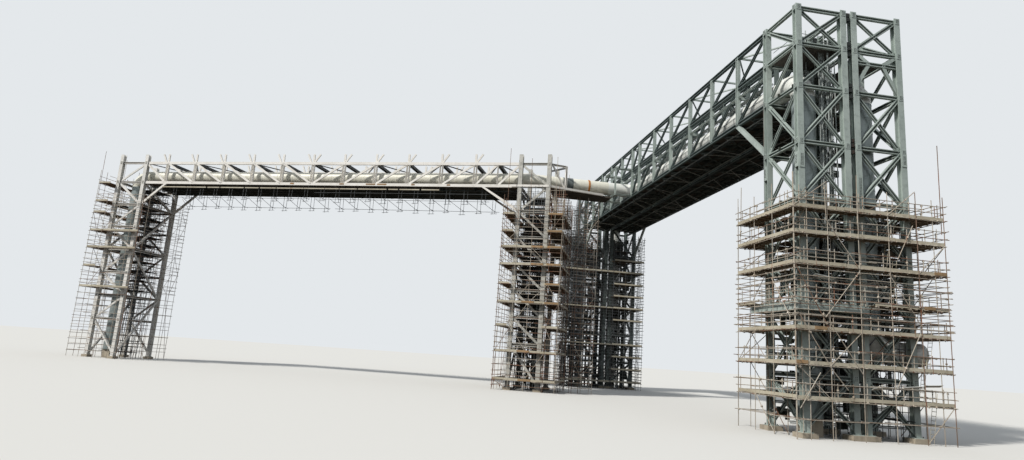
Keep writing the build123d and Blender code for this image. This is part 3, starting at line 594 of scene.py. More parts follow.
# Old span: trusses with paired hangers, and forked heads over the posts. A bar of a head is given by
# where its root and its tip stand along the span, and by its width.
hanger = {"apart": 0.17, "wide": 0.15, "deep": 0.26}
fork = {"root": 0.2, "post": (0, 0, 0.28), "leftArm": (-0.14, -0.98, 0.24), "rightArm": (0.4, 1.0, 0.24),
        "nearRise": 1.4, "farRise": 1.75, "deep": 0.14}
kerb = {"from": 0.4, "to": 58.9, "lift": 0.56, "wide": 0.42, "deep": 0.12}
oldMarks = [["\\" if i < old["middle"] else "/" for i in range(len(old["stations"]) - 1)]]
forks = []
for name, node, t, rise in (("oldSpanTrussNear", "old_span_truss_near", 0, fork["nearRise"]),
                            ("oldSpanTrussFar", "old_span_truss_far", oldWidth, fork["farRise"])):
    made = panel(oldPoint(0, t, 0), oldDir, oldOut, old["stations"], [oldBottom, oldTop], oldMarks, 0,
                 deep=0.24, strut=0.4, ends=webClear, flat="\\/", gussets=False, flatChords=True)
    for i, a in enumerate(old["stations"][1:-1], 1):
        for da in (-hanger["apart"], hanger["apart"]) if i > 1 else (0,):
            p, q = oldPoint(a + da, t, oldBottom), oldPoint(a + da, t, oldTop)
            made[0].append(member(p, q, oldOut, hanger["wide"], hanger["deep"]))
        # the arms carry on the line of the diagonals, so they lean both ways where these meet
        arms = [fork["leftArm"]] * (i <= old["middle"]) + [fork["rightArm"]] * (i >= old["middle"])
        for root, tip, width in [fork["post"]] + arms if i > 1 else ():
            p, q = oldPoint(a + root, t, oldTop + fork["root"]), oldPoint(a + tip, t, oldTop + rise)
            forks.append(member(p, q, oldOut, width, fork["deep"], flat=True))
    if t:
        # kerb on the far chord, seen over the pipe
        p, q = (oldPoint(kerb[end], t, oldTop + kerb["lift"]) for end in ("from", "to"))
        made[0].append(member(p, q, oldOut, kerb["wide"], kerb["deep"], flat=True))
    paint(name, node, [made], "old_grey_steel")
paint("oldSpanForkedHeads", "old_span_forked_heads", [(forks, [], [])], "old_grey_steel")

# Old towers: single diagonals on every side.
oldLevels = [oldBottom - old["tier"] * i for i in range(6, 0, -1)] + [oldBottom, oldTop]
crossLevels = [oldBottom - old["tier"] * i for i in (5, 3, 1)] + [oldBottom]
oldBrace = {"foot": foot, "deep": 0.22, "strut": 0.34, "flat": "\\/"}
for name, node, span, marks, finish in (
        ("midTower", "mid_tower", old["midTower"], ["/"] * 6 + ["\\", "/"], darkerGrey),
        ("leftTower", "left_tower", old["leftTower"], zigzag, litPaleLeg)):
    long = [panel(oldPoint(0, t, 0), oldDir, side, span, oldLevels, marks, webClear, **oldBrace)
            for t, side in ((0, oldOut), (oldWidth, oldNormal))]
    paint(name + "LongBracing", node + "_long_bracing", long, "old_grey_steel", finish)
    across = [
        panel(oldPoint(a, 0, 0), oldNormal, oldDir, [0, oldWidth], crossLevels, zigzag, oldHalf, **oldBrace)
        for a in span]
    paint(name + "CrossBracing", node + "_cross_bracing", across, "old_grey_steel", finish)
print("stage: old span and its towers")

# Dark bolted packers between the modules, in threes round each level.
packers, packerBolts = [], []
packer = {"size": (0.36, 0.44, 0.3), "rises": (-0.42, 0.12, 0.5), "topRises": (-0.42, -0.05), "inset": 0.04,
          "pitch": 0.15, "proud": 0.28}
middle = (legs[1] + legs[2]) / 2
for y, outward in ((0, forward), (depth, backward)):
    for z in levels[1:]:
        for dz in packer["rises" if z < levels[-1] else "topRises"]:
            at = (middle, y - outward.y * packer["inset"], z + dz)
            packers.append(block(at, up, outward, packer["size"]))
            at = (middle, y, z + dz)
            packerBolts += boltGrid(at, up, outward, 2, 2, packer["pitch"], packer["proud"])
keep("moduleTies", [blocks(packers, darkPacker), blocks(packerBolts, darkPacker, "bolt")], "green_steel",
     "near_tower_module_ties")


# Large pipes: cladding sheets that lap, smooth bends with lobster-back seams.
def route(corners, radius, step=7.5):
    # points along a line of corners with round bends; the flag marks a seam of a bend
    corners = [Vector(corner) for corner in corners]
    points = [(corners[0], False)]
    for before, c, after in zip(corners, corners[1:], corners[2:]):
        u, v = (before - c).normalized(), (after - c).normalized()
        half = u.angle(v) / 2
        reach, turned = radius / math.tan(half), math.pi - 2 * half
        centre = c + (u + v).normalized() * (radius / math.sin(half))
        first, last = c + u * reach - centre, c + v * reach - centre
        count = max(2, round(math.degrees(turned) / step))
        for i in range(count + 1):
            a, b = ((1 - i / count) * turned, i / count * turned)
            p = centre + first * (math.sin(a) / math.sin(turned)) + last * (math.sin(b) / math.sin(turned))
            points.append((p, i % 2 == 0))
    return points + [(corners[-1], False)]


# lap is the step from sheet to sheet; seam and band are half the widths of a lapped seam and of a strap
cladding = {"lap": 0.018, "sides": 36, "seam": 0.035, "band": 0.09}


def cladPipe(corners, sheet, material, proud=0.0, bands=()):
    # rings of points lofted along the route, stepped up where one sheet laps the next
    radius, lap, sides = pipes["radius"] + proud, cladding["lap"], cladding["sides"]
    points = route(corners, pipes["bend"])
    path = []
    for (p, seam), (q, _) in zip(points, points[1:]):
        path.append((p, seam))
        count = int((q - p).length / sheet) if (q - p).length > 1.5 * sheet else 0
        path += [(p.lerp(q, i / count), True) for i in range(1, count)]
    path.append(points[-1])
    places = [p for p, seam in path]
    rings = []
    for i, (p, seam) in enumerate(path):
        along = (places[min(i + 1, len(places) - 1)] - places[max(i - 1, 0)]).normalized()
        wide = cladding["band" if any((p - b).length < sheet * 0.51 for b in bands) else "seam"]
        if seam and 0 < i < len(path) - 1:
            rings += [(p - along * wide, along, radius), (p - along * wide, along, radius + lap),
                      (p + along * wide, along, radius + lap), (p + along * wide, along, radius)]
        else:
            rings.append((p, along, radius))
    verts, faces = [], []
    across = up if abs(rings[0][1].z) < 0.9 else rightward
    for centre, along, r in rings:
        across = (across - along * across.dot(along)).normalized()
        other = along.cross(across)
        for k in range(sides):
            a = 2 * math.pi * k / sides
            verts.append((centre + (across * math.cos(a) + other * math.sin(a)) * r) * modelScale)
    for j in range(len(rings) - 1):
        for k in range(sides):
            low, high, n = j * sides, (j + 1) * sides, (k + 1) % sides
            faces.append((low + k, low + n, high + n, high + k))
    faces += [tuple(range(sides - 1, -1, -1)), tuple(range(len(verts) - sides, len(verts)))]
    mesh = bpy.data.meshes.new("pipe")
    mesh.from_pydata(verts, [], faces)
    mesh.materials.append(material)
    for p in mesh.polygons[:-2]:
        p.use_smooth = True
    return mesh


def paintRiserShade(mesh, low, high, deep):
    # the stretch of a pipe between two heights and nearer than deep gets the shaded cladding of the risers,
    # as painted shade
    mesh.materials.append(shadedRiser)
    for face in mesh.polygons:
        if low < face.center.z / modelScale < high and face.center.y / modelScale < deep:
            face.material_index = 1
    return mesh


pipes = {
    "radius": 0.9, "bend": 1.75, "z": 26.7 + 0.19 + 0.16 + 0.9, "x": 1.3, "secondX": 6.3, "crossY": 40.3,
    "riserY": 1.36, "foot": 1.25, "lowZ": 6.4, "oldLine": 1.6, "sheet": 1.2, "oldSheet": 1.25,
    "riserTop": 26.3,  # risers carry the painted shade up to here
    "towerBack": 5,
}
pz, ry, cy, sx = pipes["z"], pipes["riserY"], pipes["crossY"], pipes["secondX"]
crossStart = (-2.9, cy, pz)
twinRoute = [crossStart, (pipes["x"], cy, pz), (pipes["x"], ry, pz), (pipes["x"], ry, pipes["foot"])]
farRiserY = farY + depth - ry
secondRoute = [(legs[3] + 1.9, ry, pipes["lowZ"]), (sx, ry, pipes["lowZ"]), (sx, ry, pz),
               (sx, farRiserY, pz), (sx, farRiserY, pipes["foot"])]
leftS = sum(old["leftTower"]) / 2
axisStart = oldPoint(0, pipes["oldLine"], pz)
cornerPoint = axisStart + oldDir * ((cy - axisStart.y) / oldDir.y)
oldRoute = [oldPoint(leftS, pipes["oldLine"], z) for z in (pipes["foot"], pz)] + [cornerPoint, crossStart]
for name, node, corners, low in (("mainPipeTwinSpan", "main_pipe_twin_span", twinRoute, 0),
                                 ("secondPipe", "second_pipe", secondRoute, 8.2)):
    made = cladPipe(corners, pipes["sheet"], bareCladding)
    keep(name, [paintRiserShade(made, low, pipes["riserTop"], pipes["towerBack"])], "pipe_cladding", node)
collars = [oldPoint(a + 0.7, pipes["oldLine"], pz) for a in old["stations"]]
# a dark lagged length and an orange collar on the stretch that crosses over
crossBands = [cladPipe([(xa, cy, pz), (xb, cy, pz)], 5, material, proud) for xa, xb, proud, material in (
    (-9.3, -7.9, 0.025, darkBand), (-5.75, -5.5, 0.04, orangeBand))]
made = cladPipe(oldRoute, pipes["oldSheet"], finishes["pipe_cladding"], bands=collars)
keep("mainPipeOldSpan", [paintRiserShade(made, 0, pipes["riserTop"], math.inf)] + crossBands, "pipe_cladding",
     "main_pipe_old_span")
print("stage: large pipes")

# Under the decks: floor beams, stringers along the span, crossed angles, brackets, small pipes; top bracing.
# Each bar: how far it lies below its level, width and depth.
under = {
    "beam": (0.13, 0.24, 0.26), "midBeam": (0.1, 0.16, 0.18), "stringer": (0.32, 0.14, 0.22),
    "angle": (0.28, 0.12, 0.1), "backAngle": (0.24, 0.12, 0.08), "edge": (0.2, 0.4, 0.1),
    "topStrut": (0, 0.15, 0.15), "topAngle": (0.02, 0.12, 0.12),
    "oldBeam": (0.22, 0.22, 0.26), "oldStringer": (0.42, 0.12, 0.2), "oldTopStrut": (0, 0.48, 0.34),
}
underBars, underLattice, topBars, underPipes, looseLines = [], [], [], [], []
deckZ, side, inset = bottomChord - 0.09, 0.17, 0.3
y0, y1 = stations[0] + inset, stations[-1] - inset


def crossBar(x0, x1, y0, y1, kind, level=deckZ):
    drop, wide, deep = under[kind]
    return member((x0, y0, level - drop), (x1, y1, level - drop), down, wide, deep)


for x0, x1 in modules:
    a, b = x0 + side, x1 - side
    for y in stations[1:-1]:
        underBars += [crossBar(a, b, y, y, "beam"), crossBar(a, b, y + 2.4, y + 2.4, "midBeam")]
        topBars.append(crossBar(a, b, y, y, "topStrut", topChord))
    for x in (x0 + 1.0, x0 + 2.0, x0 + 2.95):
        underBars.append(crossBar(x, x, y0, y1, "stringer"))
    for i, (y, z) in enumerate(zip(stations, stations[1:])):
        topBars.append(crossBar(*((a, b) if i % 2 else (b, a)), y, z, "topAngle", topChord))
        for first, last in ((y, (y + z) / 2), ((y + z) / 2, z)):
            underLattice += [crossBar(a, b, first, last, "angle"), crossBar(b, a, first, last, "backAngle")]
        for x, way in ((x0, 1), (x1, -1)):
            for dy in (0.9, 3.1):
                p, q = (x + way * side, y + dy, deckZ), (x + way * 0.75, y + dy, deckZ - 0.3)
                underLattice.append(member(p, q, forward, 0.1, 0.1))
    for x in (x0 + 0.5, x1 - 0.45):
        underPipes.append(((x, stations[0] + 0.4, deckZ - 0.42), (x, stations[-1] - 0.4, deckZ - 0.42)))
underBars += [crossBar(x, x, y0, y1, "edge", bottomChord) for x in legs[1:3]]
underChance = random.Random(5)
for x0, x1 in modules:
    for y in stations[:-1]:
        for i in range(2):
            first, last = y + underChance.uniform(0, 3), y + underChance.uniform(1, 5)
            drop = deckZ - underChance.uniform(0.38, 0.5)
            start = (x0 + underChance.uniform(0.2, 0.6), first, drop)
            looseLines.append((start, (x1 - underChance.uniform(0.2, 0.9), last, drop)))
# webs of the floor beams take the near-black packer coat as painted shade, and the lattice the shaded far
# coat
keep("spanUnderBeams", [
    sections(underBars, underDeckShadeSteel, darkPacker), sections(underLattice, farGreen, darkPacker),
    tubes(underPipes, 0.05, dullZinc), tubes(looseLines, 0.022, paleSheet, 4)],
    "green_steel", "span_floor_beams")
keep("spanTopBracing", [sections(topBars, greenPaint, greenWeb)], "green_steel", "span_top_struts")


def oldBar(a, b, t0, t1, kind, level):
    drop, wide, deep = under[kind]
    return member(oldPoint(a, t0, level - drop), oldPoint(b, t1, level - drop), down, wide, deep)


t0, t1 = 0.12, oldWidth - 0.12
oldUnder = [oldBar(a, a, t0, t1, "oldBeam", oldBottom) for a in old["stations"][1:-1]]
oldUnder += [oldBar(0.3, 58.9, t, t, "oldStringer", oldBottom) for t in (1.2, 2.4, 3.6, 4.8, 5.9)]
oldTopBars = [oldBar(a, a, t0, t1, "oldTopStrut", oldTop) for a in old["stations"][1:-1]]
for i, (a, b) in enumerate(zip(old["stations"], old["stations"][1:])):
    oldTopBars.append(oldBar(a, b, *((t0, t1) if i % 2 else (t1, t0)), "topAngle", oldTop))
# webs of the old span's floor beams take the near-black packer coat as painted shade
keep("oldSpanUnderBeams", [sections(oldUnder, underDeckShadeSteel, darkPacker)], "old_grey_steel",
     "old_span_floor_beams")
keep("oldSpanTopBracing", [sections(oldTopBars, shadedGrey, shadedGrey)], "old_grey_steel",
     "old_span_top_struts")

# Scaffolds: tubes, planks, toe boards, couplers. Plan lines are (u0, v0, u1, v1).
chance = random.Random(11)
spread = chance.uniform
scaffold = {
    "tube": 0.03, "plank": 0.225, "board": 0.05, "boardLength": 3.9, "boardGap": 0.015,
    "toe": 0.27, "toeDrop": 0.03, "toeThick": 0.045, "overhang": 0.3, "transomDrop": 0.07,
    "coupler": 0.13, "couplerShare": 0.5, "rungPitch": 0.3, "ladderHalf": 0.2, "ladderTube": 0.02,
    "ledgerDrop": 0.08, "lap": 0.3, "lapRise": 0.05, "rusty": 0.17, "rustyInside": 0.15, "rustyOutside": 0.6,
}
near = {
    "xs": [-1.5, 1.2, 3.7, 6.2, 8.6, 10.95],
    "ys": [-1.35, 1.4, 4.0, 6.6],
    "decks": [2.75, 5.15, 7.6, 12.3, 14.6, 16.55],
    "partDeck": 9.65,
    "top": 18.6,
}
midScaffold = {
    "decks": [1.3, 4.8, 8.0, 11.0, 13.4, 15.9, 18.2, 20.3, 22.6], "front": [1.3, 4.8, 11.0, 15.9, 18.2],
    "s": (-6.21, 1.71), "t": (-1.31, 8.31), "legs": old["midTower"], "top": 25.0, "frontTop": 25.0,
    "posts": [0, 1.5, 3.9, 5.9], "inside": (0.4, 6.6), "rows": (1.2, 2.9, 4.6, 5.9), "bothEnds": True,
}
leftScaffold = {
    "decks": [10.3, 13.4, 16.2, 18.8, 21.6, 23.4, 26.2], "front": [10.3, 16.2, 18.8],
    "s": (57.49, 66.01), "t": (-1.31, 8.31), "legs": old["leftTower"], "top": 28.6, "frontTop": 24.5,
    "posts": [0, 1.5, 4.0, 6.4], "inside": (2.8, 6.6), "rows": (2.9, 3.8, 4.9, 5.9), "bothEnds": False,
}
farScaffold = {
    "decks": [1.1, 7.0, 13.0, 19.1], "lifts": [1.1 + 2.0 * i for i in range(13)], "x": (-3.6, 10.03),
    "y": (59.55, 65.77), "top": 25.5,
}


def bar(p, q, wide, tall, lift=None):
    return ((p + q) / 2 + (lift or Vector()), aim(q - p, up), (wide, tall, (q - p).length))


def planks(x0, x1, y0, y1, z, place=here):
    # boards laid side by side along the longer way, each a little out of line
    longX, gap, found = x1 - x0 > y1 - y0, scaffold["boardGap"], []
    width, length = (y1 - y0, x1 - x0) if longX else (x1 - x0, y1 - y0)
    count, pieces = max(1, round(width / scaffold["plank"])), max(1, round(length / scaffold["boardLength"]))
    for i in range(count):
        mid = (i + 0.5) / count * width
        for k in range(pieces):
            ends = k / pieces * length + gap, (k + 1) / pieces * length - gap
            at = z + spread(-0.01, 0.015)
            p, q = (place(x0 + a, y0 + mid, at) if longX else place(x0 + mid, y0 + a, at) for a in ends)
            found.append(bar(p, q, width / count - gap, scaffold["board"]))
    return found


def toe(u0, v0, u1, v1, z, place=here):
    # a board on edge along the rim of a deck, in lengths that do not quite line up
    p, q, tall, found = place(u0, v0, z), place(u1, v1, z), scaffold["toe"], []
    count = max(1, round((q - p).length / scaffold["boardLength"]))
    for i in range(count):
        a, b = p.lerp(q, (i + 0.004) / count), p.lerp(q, (i + 0.996) / count)
        lift = Vector((0, 0, tall / 2 - scaffold["toeDrop"] + spread(-0.02, 0.03)))
        found.append(bar(a, b, scaffold["toeThick"], tall - scaffold["toeDrop"], lift))
    return found


def direction(u0, v0, u1, v1):
    length = math.hypot(u1 - u0, v1 - v0)
    return length, (u1 - u0) / length, (v1 - v0) / length


def scaffoldWall(place, plan, posts, decks, top, between, rails=(0.5, 1.05), over=0.3, braces=0.35, extra=()):
    # standards, ledgers, guard rails and face braces of one side; between is the widest gap of the ledgers
    length, ux, uy = direction(*plan)

    def at(d, z):
        return place(plan[0] + ux * d, plan[1] + uy * d, z)

    found = [(at(d, 0), at(d, top + spread(-0.5, 0.5))) for d in posts]
    heights = [-scaffold["ledgerDrop"], *rails]
    ledgers = sorted({deck + rise for deck in decks for rise in heights if deck + rise < top})
    lap, lift = scaffold["lap"], scaffold["lapRise"]
    rows = ledgers + list(extra)
    for low, high in zip([0] + ledgers, ledgers):
        count = int((high - low) / between)
        rows += [low + (high - low) * (i + 1) / (count + 1) for i in range(count)]
    for z in rows:
        cut = spread(0.3, 0.7) * length
        tilt = spread(-0.05, 0.05)
        found.append((at(-spread(0.05, over), z), at(cut + lap, z + tilt)))
        found.append((at(cut - lap, z + lift), at(length + spread(0.05, over), z + tilt)))
    steps = sorted([0.1] + list(decks) + [top])
    for low, high in zip(steps, steps[1:]):
        for a, b in zip(posts, posts[1:]):
            if chance.random() < braces:
                first, last = (a, b) if chance.random() < 0.5 else (b, a)
                found.append((at(first, low), at(last, high)))
    return found


def transoms(place, plan, inward, decks, reach, pitch):
    # short tubes under each deck that stick out past its edge
    found, drop = [], scaffold["transomDrop"]
    length, ux, uy = direction(*plan)
    for z in decks:
        d = 0.1
        while d < length:
            x, y, out = plan[0] + ux * d, plan[1] + uy * d, spread(0.05, scaffold["overhang"])
            found.append(tuple(place(x + inward[0] * w, y + inward[1] * w, z - drop) for w in (-out, reach)))
            d += pitch * spread(0.8, 1.2)
    return found


def couplers(lines):
    # clamp bodies at some of the tubes
    found, size = [], scaffold["coupler"]
    for p, q in lines:
        if chance.random() < scaffold["couplerShare"]:
            at = p.lerp(q, chance.choice((0.1, 0.35, 0.65, 0.9)))
            found.append((at, aim(q - p, Vector((0.3, 0.2, 1))), (size, size, size * 0.8)))
    return found


def ladder(a, b):
    side = up.cross((b - a).normalized()).normalized() * scaffold["ladderHalf"]
    count = int((b - a).z / scaffold["rungPitch"])
    rungs = [a.lerp(b, i / count) for i in range(1, count)]
    return [(a - side, b - side), (a + side, b + side)] + [(at - side, at + side) for at in rungs]


def tube(place, *ends):
    # a tube between two points, given as six numbers
    return place(*ends[:3]), place(*ends[3:])


x0, x1, y0, y1 = near["xs"][0], near["xs"][-1], near["ys"][0], near["ys"][-1]
ix0, ix1, iy0, iy1 = -clear, legs[3] + clear, -clear, depth + clear
front, back, left, right = (x0, y0, x1, y0), (x0, y1, x1, y1), (x0, y0, x0, y1), (x1, y0, x1, y1)
boards, toes, lines = [], [], []
for z in near["decks"]:
    for strip in ((x0, x1, y0, iy0), (x0, x1, iy1, y1), (x0, ix0, iy0, iy1), (ix1, x1, iy0, iy1)):
        boards += planks(*strip, z)
    for rim in (front, back, left, right):
        toes += toe(*rim, z)
z = near["partDeck"]
boards += planks(legs[2], x1, y0, iy0, z) + planks(ix1, x1, iy0, iy1, z) + planks(x0, ix0, 4.0, y1, z)
toes += toe(legs[2], y0, x1, y0, z) + toe(x0, 4.0, x0, y1, z)
allDecks = sorted(near["decks"] + [z])
# boards inside the tower, round the risers
for z in allDecks + [4.0, 6.5, 13.6]:
    for strip in ((0.3, 3.65, 2.45, 4.2), (5.2, 8.55, 2.45, 4.2), (2.35, 3.7, 0.25, 2.3),
                  (7.35, 8.55, 0.25, 2.3), (4.0, 4.8, 0.4, 4.0)):
        boards += planks(*strip, z)
freshBoards = []
for xa, xb, z in ((0.0, 0.95, 7.6), (9.9, 10.9, 12.3), (8.9, 9.8, 9.65), (-1.5, -0.6, 5.15)):
    freshBoards += toe(xa, y0 - 0.06, xb, y0 - 0.06, z)
# pale sheets tied to the front rails
sheets = [
    block(((xa + xb) / 2, y0 + 0.25, z), (1, 0, tilt), (0, -0.5, -1), (0.34, 0.03, xb - xa))
    for xa, xb, z, tilt in (
        (0.2, 1.8, 11.45, -0.12), (4.6, 6.2, 3.75, 0.08), (7.0, 8.6, 3.95, 0.1), (8.7, 10.2, 4.15, 0.06))]
postsX, postsY = [x - x0 for x in near["xs"]], [y - y0 for y in near["ys"]]
tubeRadius = out = scaffold["tube"]
for plan, posts, inward, reach in (
        ((x0, y0 - out, x1, y0 - out), postsX, (0, 1), 1.1),
        ((x0, y1 + out, x1, y1 + out), postsX, (0, -1), 1.9),
        ((x0 - out, y0, x0 - out, y1), postsY, (1, 0), 1.2),
        ((x1 + out, y0, x1 + out, y1), postsY, (-1, 0), 1.7)):
    # ten more rows of ledgers round the middle lifts
    dense = [8.1 + 0.42 * i + spread(-0.06, 0.06) for i in range(10)]
    lines += scaffoldWall(
        here, plan, posts, near["decks"], near["top"], 1.5, over=0.45, braces=0.12, extra=dense)
    lines += transoms(here, plan, inward, allDecks, reach, 0.65)
# short posts that carry the guard rails
for z in allDecks:
    for rim in (front, left, right):
        first, last = tube(here, *rim[:2], 0, *rim[2:], 0)
        count = int((last - first).length / 1.15)
        for i in range(count):
            at = first.lerp(last, (i + spread(0.2, 0.8)) / count)
            lines.append((at + Vector((0, 0, z - 0.15)), at + Vector((0, 0, z + spread(1.05, 1.3)))))
# inner rows of standards with their ledgers
innerX = [x - near["xs"][1] for x in near["xs"][1:-1]]
for plan, posts in (((x0 + 1.1, y0 + 0.95, x1 - 1.0, y0 + 0.95), innerX), ((10.0, y0, 10.0, y1), postsY),
                    ((x0 + 1.05, y0, x0 + 1.05, y1), postsY)):
    lines += scaffoldWall(here, plan, posts, allDecks, near["top"] - 0.6, 1.4, rails=(1.0,), braces=0.15)
# long braces on the face
for xa, za, xb, zb in (
        (0.95, 18.3, 1.05, 15.65), (1.05, 15.65, 3.55, 12.3), (3.62, 12.0, 0.8, 8.5), (-1.3, 8.7, 1.2, 4.85),
        (1.2, 4.85, 2.4, 3.5), (1.1, 8.2, 3.63, 4.63), (6.0, 12.1, 8.57, 8.3), (8.2, 15.9, 6.8, 13.2),
        (8.4, 7.9, 6.3, 3.9), (0.3, 4.6, -1.3, 2.1)):
    lines.append(tube(here, xa, y0 - 0.12, za, xb, y0 - 0.12, zb))
lines.append(tube(here, x0 - 0.12, 1.44, 11.44, x0 - 0.12, -0.93, 8.37))
# thin whips above the top lift
for x, y, z in ((10.85, -1.25, 22.6), (9.1, 6.5, 20.6), (3.7, -1.3, 19.4), (-1.4, 6.4, 19.8)):
    lines.append(tube(here, x, y, 15.5, x + 0.06, y, z))
# tubes inside the tower: four rows across and three along, with uprights between the risers
innerLines = []
for row in (0.35, 2.4, 3.3, 4.1):
    for z in [1.2 + 0.95 * i for i in range(17)]:
        a, b = chance.choice(((-0.2, 4.0), (4.8, 9.0), (-0.2, 9.0), (2.3, 7.0)))
        innerLines.append(tube(here, a, row, z, b, row, z + spread(-0.04, 0.04)))
for x in (2.4, 3.0, 3.6, 4.4, 7.5, 8.1, 8.6):
    for row in (0.35, 2.45, 4.1):
        innerLines.append(tube(here, x, row, 0, x, row, chance.choice((11.8, 14.2, 17.6))))
    innerLines += [tube(here, x, -0.3, z, x, 4.6, z) for z in [1.5 + 1.3 * i for i in range(12)]]
for i in range(34):
    x, row = spread(0.3, 6.5), chance.choice((0.4, 2.5, 4.15))
    z = chance.choice((1.3, 3.2, 5.3, 7.8, 9.9, 12.5, 14.8))
    innerLines.append(tube(here, x, row, z, x + spread(1.2, 2.2), row, z + 2.1))
# ladders between the lifts
ladders, y = [], y0 + 0.55
for low, high, x in ((0.1, 2.75, 9.4), (2.75, 5.15, 8.7), (5.15, 7.6, 9.4), (7.6, 9.65, 8.7),
                     (9.65, 12.3, 6.6), (12.3, 14.6, 6.2), (14.6, 16.55, 6.8)):
    ladders += ladder(here(x, y, low), here(x + 0.5, y, high + 0.9))
keep("nearScaffoldBoards", [
    blocks(boards, plainBoard), blocks(toes, toeBoard), blocks(freshBoards, freshBoard),
    blocks(sheets, paleSheet)], "scaffold_board", "near_tower_scaffold_decks")
rusty = [line for line in lines if chance.random() < scaffold["rusty"]]
plainOnes = [line for line in lines if line not in rusty]
keep("nearScaffoldTubes", [
    tubes(plainOnes, tubeRadius, plainTube), tubes(innerLines, tubeRadius, darkTube, 5),
    tubes(rusty, tubeRadius, rustyTube), tubes(ladders, scaffold["ladderTube"], toeBoard, 4),
    blocks(couplers(lines), plainTube)],
    "scaffold_tube", "near_tower_scaffold_rails", "near_tower_scaffold_standards")
print("stage: near scaffold")

# Scaffolds of the older towers and of the far tower.
boards, toes, lines, innerTubes, innerBoards = [], [], [], [], []
for plan in (midScaffold, leftScaffold):
    (s0, s1), (t0, t1), (a, b), decks, top = (plan[k] for k in ("s", "t", "legs", "decks", "top"))
    low, high = a - oldHalf, b + oldHalf
    along, across = plan["posts"] + [s1 - s0], [0, 1.2, 3.2, 4.8, 6.4, 8.4, t1 - t0]

    def wall(s, t, sEnd, tEnd, posts, top, between, braces=0.35):
        return scaffoldWall(oldPoint, (s, t, sEnd, tEnd), posts, decks, top, between, braces=braces)

    for z in decks:
        boards += planks(high, s1, t0, t1, z, oldPoint)
        toes += toe(s1, t0, s1, t1, z, oldPoint) + toe(high, t0, s1, t0, z, oldPoint)
        if plan["bothEnds"]:
            boards += planks(s0, low, t0, t1, z, oldPoint)
            toes += toe(s0, t0, low, t0, z, oldPoint) + toe(s0, t0, s0, t1, z, oldPoint)
    inner = sorted(decks + [(z + w) / 2 for z, w in zip(decks, decks[1:]) if w - z > 2.2])
    for z in inner:
        innerBoards += planks(a + 0.3, b - 0.3, *plan["inside"], z, oldPoint)
    for row in plan["rows"]:
        line, posts = (a + 0.4, row, b - 0.4, row), [0, 1.0, 1.9, 2.9]
        innerTubes += scaffoldWall(oldPoint, line, posts, inner, top, 0.9, rails=(0.5, 1.0), over=0.1)
    for s in (a + 0.7, b - 0.7):
        line, posts = (s, plan["inside"][0], s, plan["inside"][1]), [0, 1.5, 3.0]
        innerTubes += scaffoldWall(oldPoint, line, posts, inner, top, 1.2, rails=(0.9,), over=0.1, braces=0.2)
    first = low if plan["bothEnds"] else s0
    for z in plan["front"]:
        boards += planks(first, high, t0, -oldHalf, z, oldPoint)
        toes += toe(first, t0, high, t0, z, oldPoint)
    lines += wall(s0, t0 - out, s1, t0 - out, along, plan["frontTop"], 1.0, 0.3)
    lines += wall(s0, t1 + out, s1, t1 + out, along, plan["frontTop"], 1.9, 0.2)
    lines += wall(s1 + out, t0, s1 + out, t1, across, top, 0.9)
    lines += wall(high + 0.15, t0, high + 0.15, t1, across[1:-1], top - 1, 1.4)
    lines += transoms(oldPoint, (s1, t0, s1, t1), (-1, 0), decks, s1 - high, 1.1)
    lines += wall(s0 - out, t0, s0 - out, t1, across, plan["frontTop"], 1.2)
    if plan["bothEnds"]:
        lines += wall(low - 0.15, t0, low - 0.15, t1, across[1:-1], top - 1, 1.4)
        lines += transoms(oldPoint, (s0, t0, s0, t1), (1, 0), decks, low - s0, 1.1)
# tubes between the top lift of the mid tower and the platform, and whips that stand above the steel
for row in (-1.3, 0.6, 2.2, 3.8, 5.4, 7.0):
    for a in (-6.1, -5.6, -5.0, -4.4):
        lines.append(tube(oldPoint, a, row, 22.4, a + spread(-0.05, 0.05), row, 26.45))
    for z in (23.4, 24.2, 25.0, 25.8):
        lines.append(tube(oldPoint, -6.4, row, z, -4.2, row, z + spread(-0.06, 0.06)))
    innerTubes += [tube(oldPoint, a, row, 21.5, a, row, 26.4) for a in (-3.3, -2.4, -1.5, -0.6)]
    for z in (23.0, 23.8, 24.6, 25.4, 26.1):
        innerTubes.append(tube(oldPoint, -3.6, row, z, -0.3, row, z + spread(-0.06, 0.06)))
for z in (24.3, 25.6):
    innerBoards += planks(-3.5, -0.4, 2.6, 6.6, z, oldPoint)
lines += [tube(oldPoint, a, row, z, a + 0.05, row, w) for a, row, z, w in (
    (1.2, -1.34, 20.0, 31.6), (-1.8, -1.34, 21.0, 30.2), (-5.2, -1.34, 21.0, 30.4), (-6.15, 4.0, 22.0, 29.5),
    (65.9, -1.2, 23.0, 31.3), (65.9, 3.0, 24.0, 31.2))]
# light bay of tubes below the end of the corner platform
for behind in (0, 1.3):
    lines += scaffoldWall(here, (-7.06, 38.87 + behind, -4.22, 39.4 + behind), [0, 1.3, 2.89],
                          [2.1 * i for i in range(1, 13)], 26.1, 1.0, rails=(), over=0.5, braces=0.5)
oldLines, freshBoards, s0 = lines, [], midScaffold["s"][0]
for z in midScaffold["decks"][3:]:
    freshBoards += planks(s0 + 0.1, -4.2, -1.25, -0.9, z + 0.05, oldPoint)
    freshBoards += toe(s0, -1.37, -4.4, -1.37, z - 0.02, oldPoint)
for z in midScaffold["front"]:
    a = spread(-4, -1)
    freshBoards += toe(a, -1.37, a + 1.6, -1.37, z, oldPoint)


def chordStrip(a, b, t, z, thick, tall):
    return ((oldPoint(a, t, z) + oldPoint(b, t, z)) / 2, aim(oldDir, up), (thick, tall, b - a))


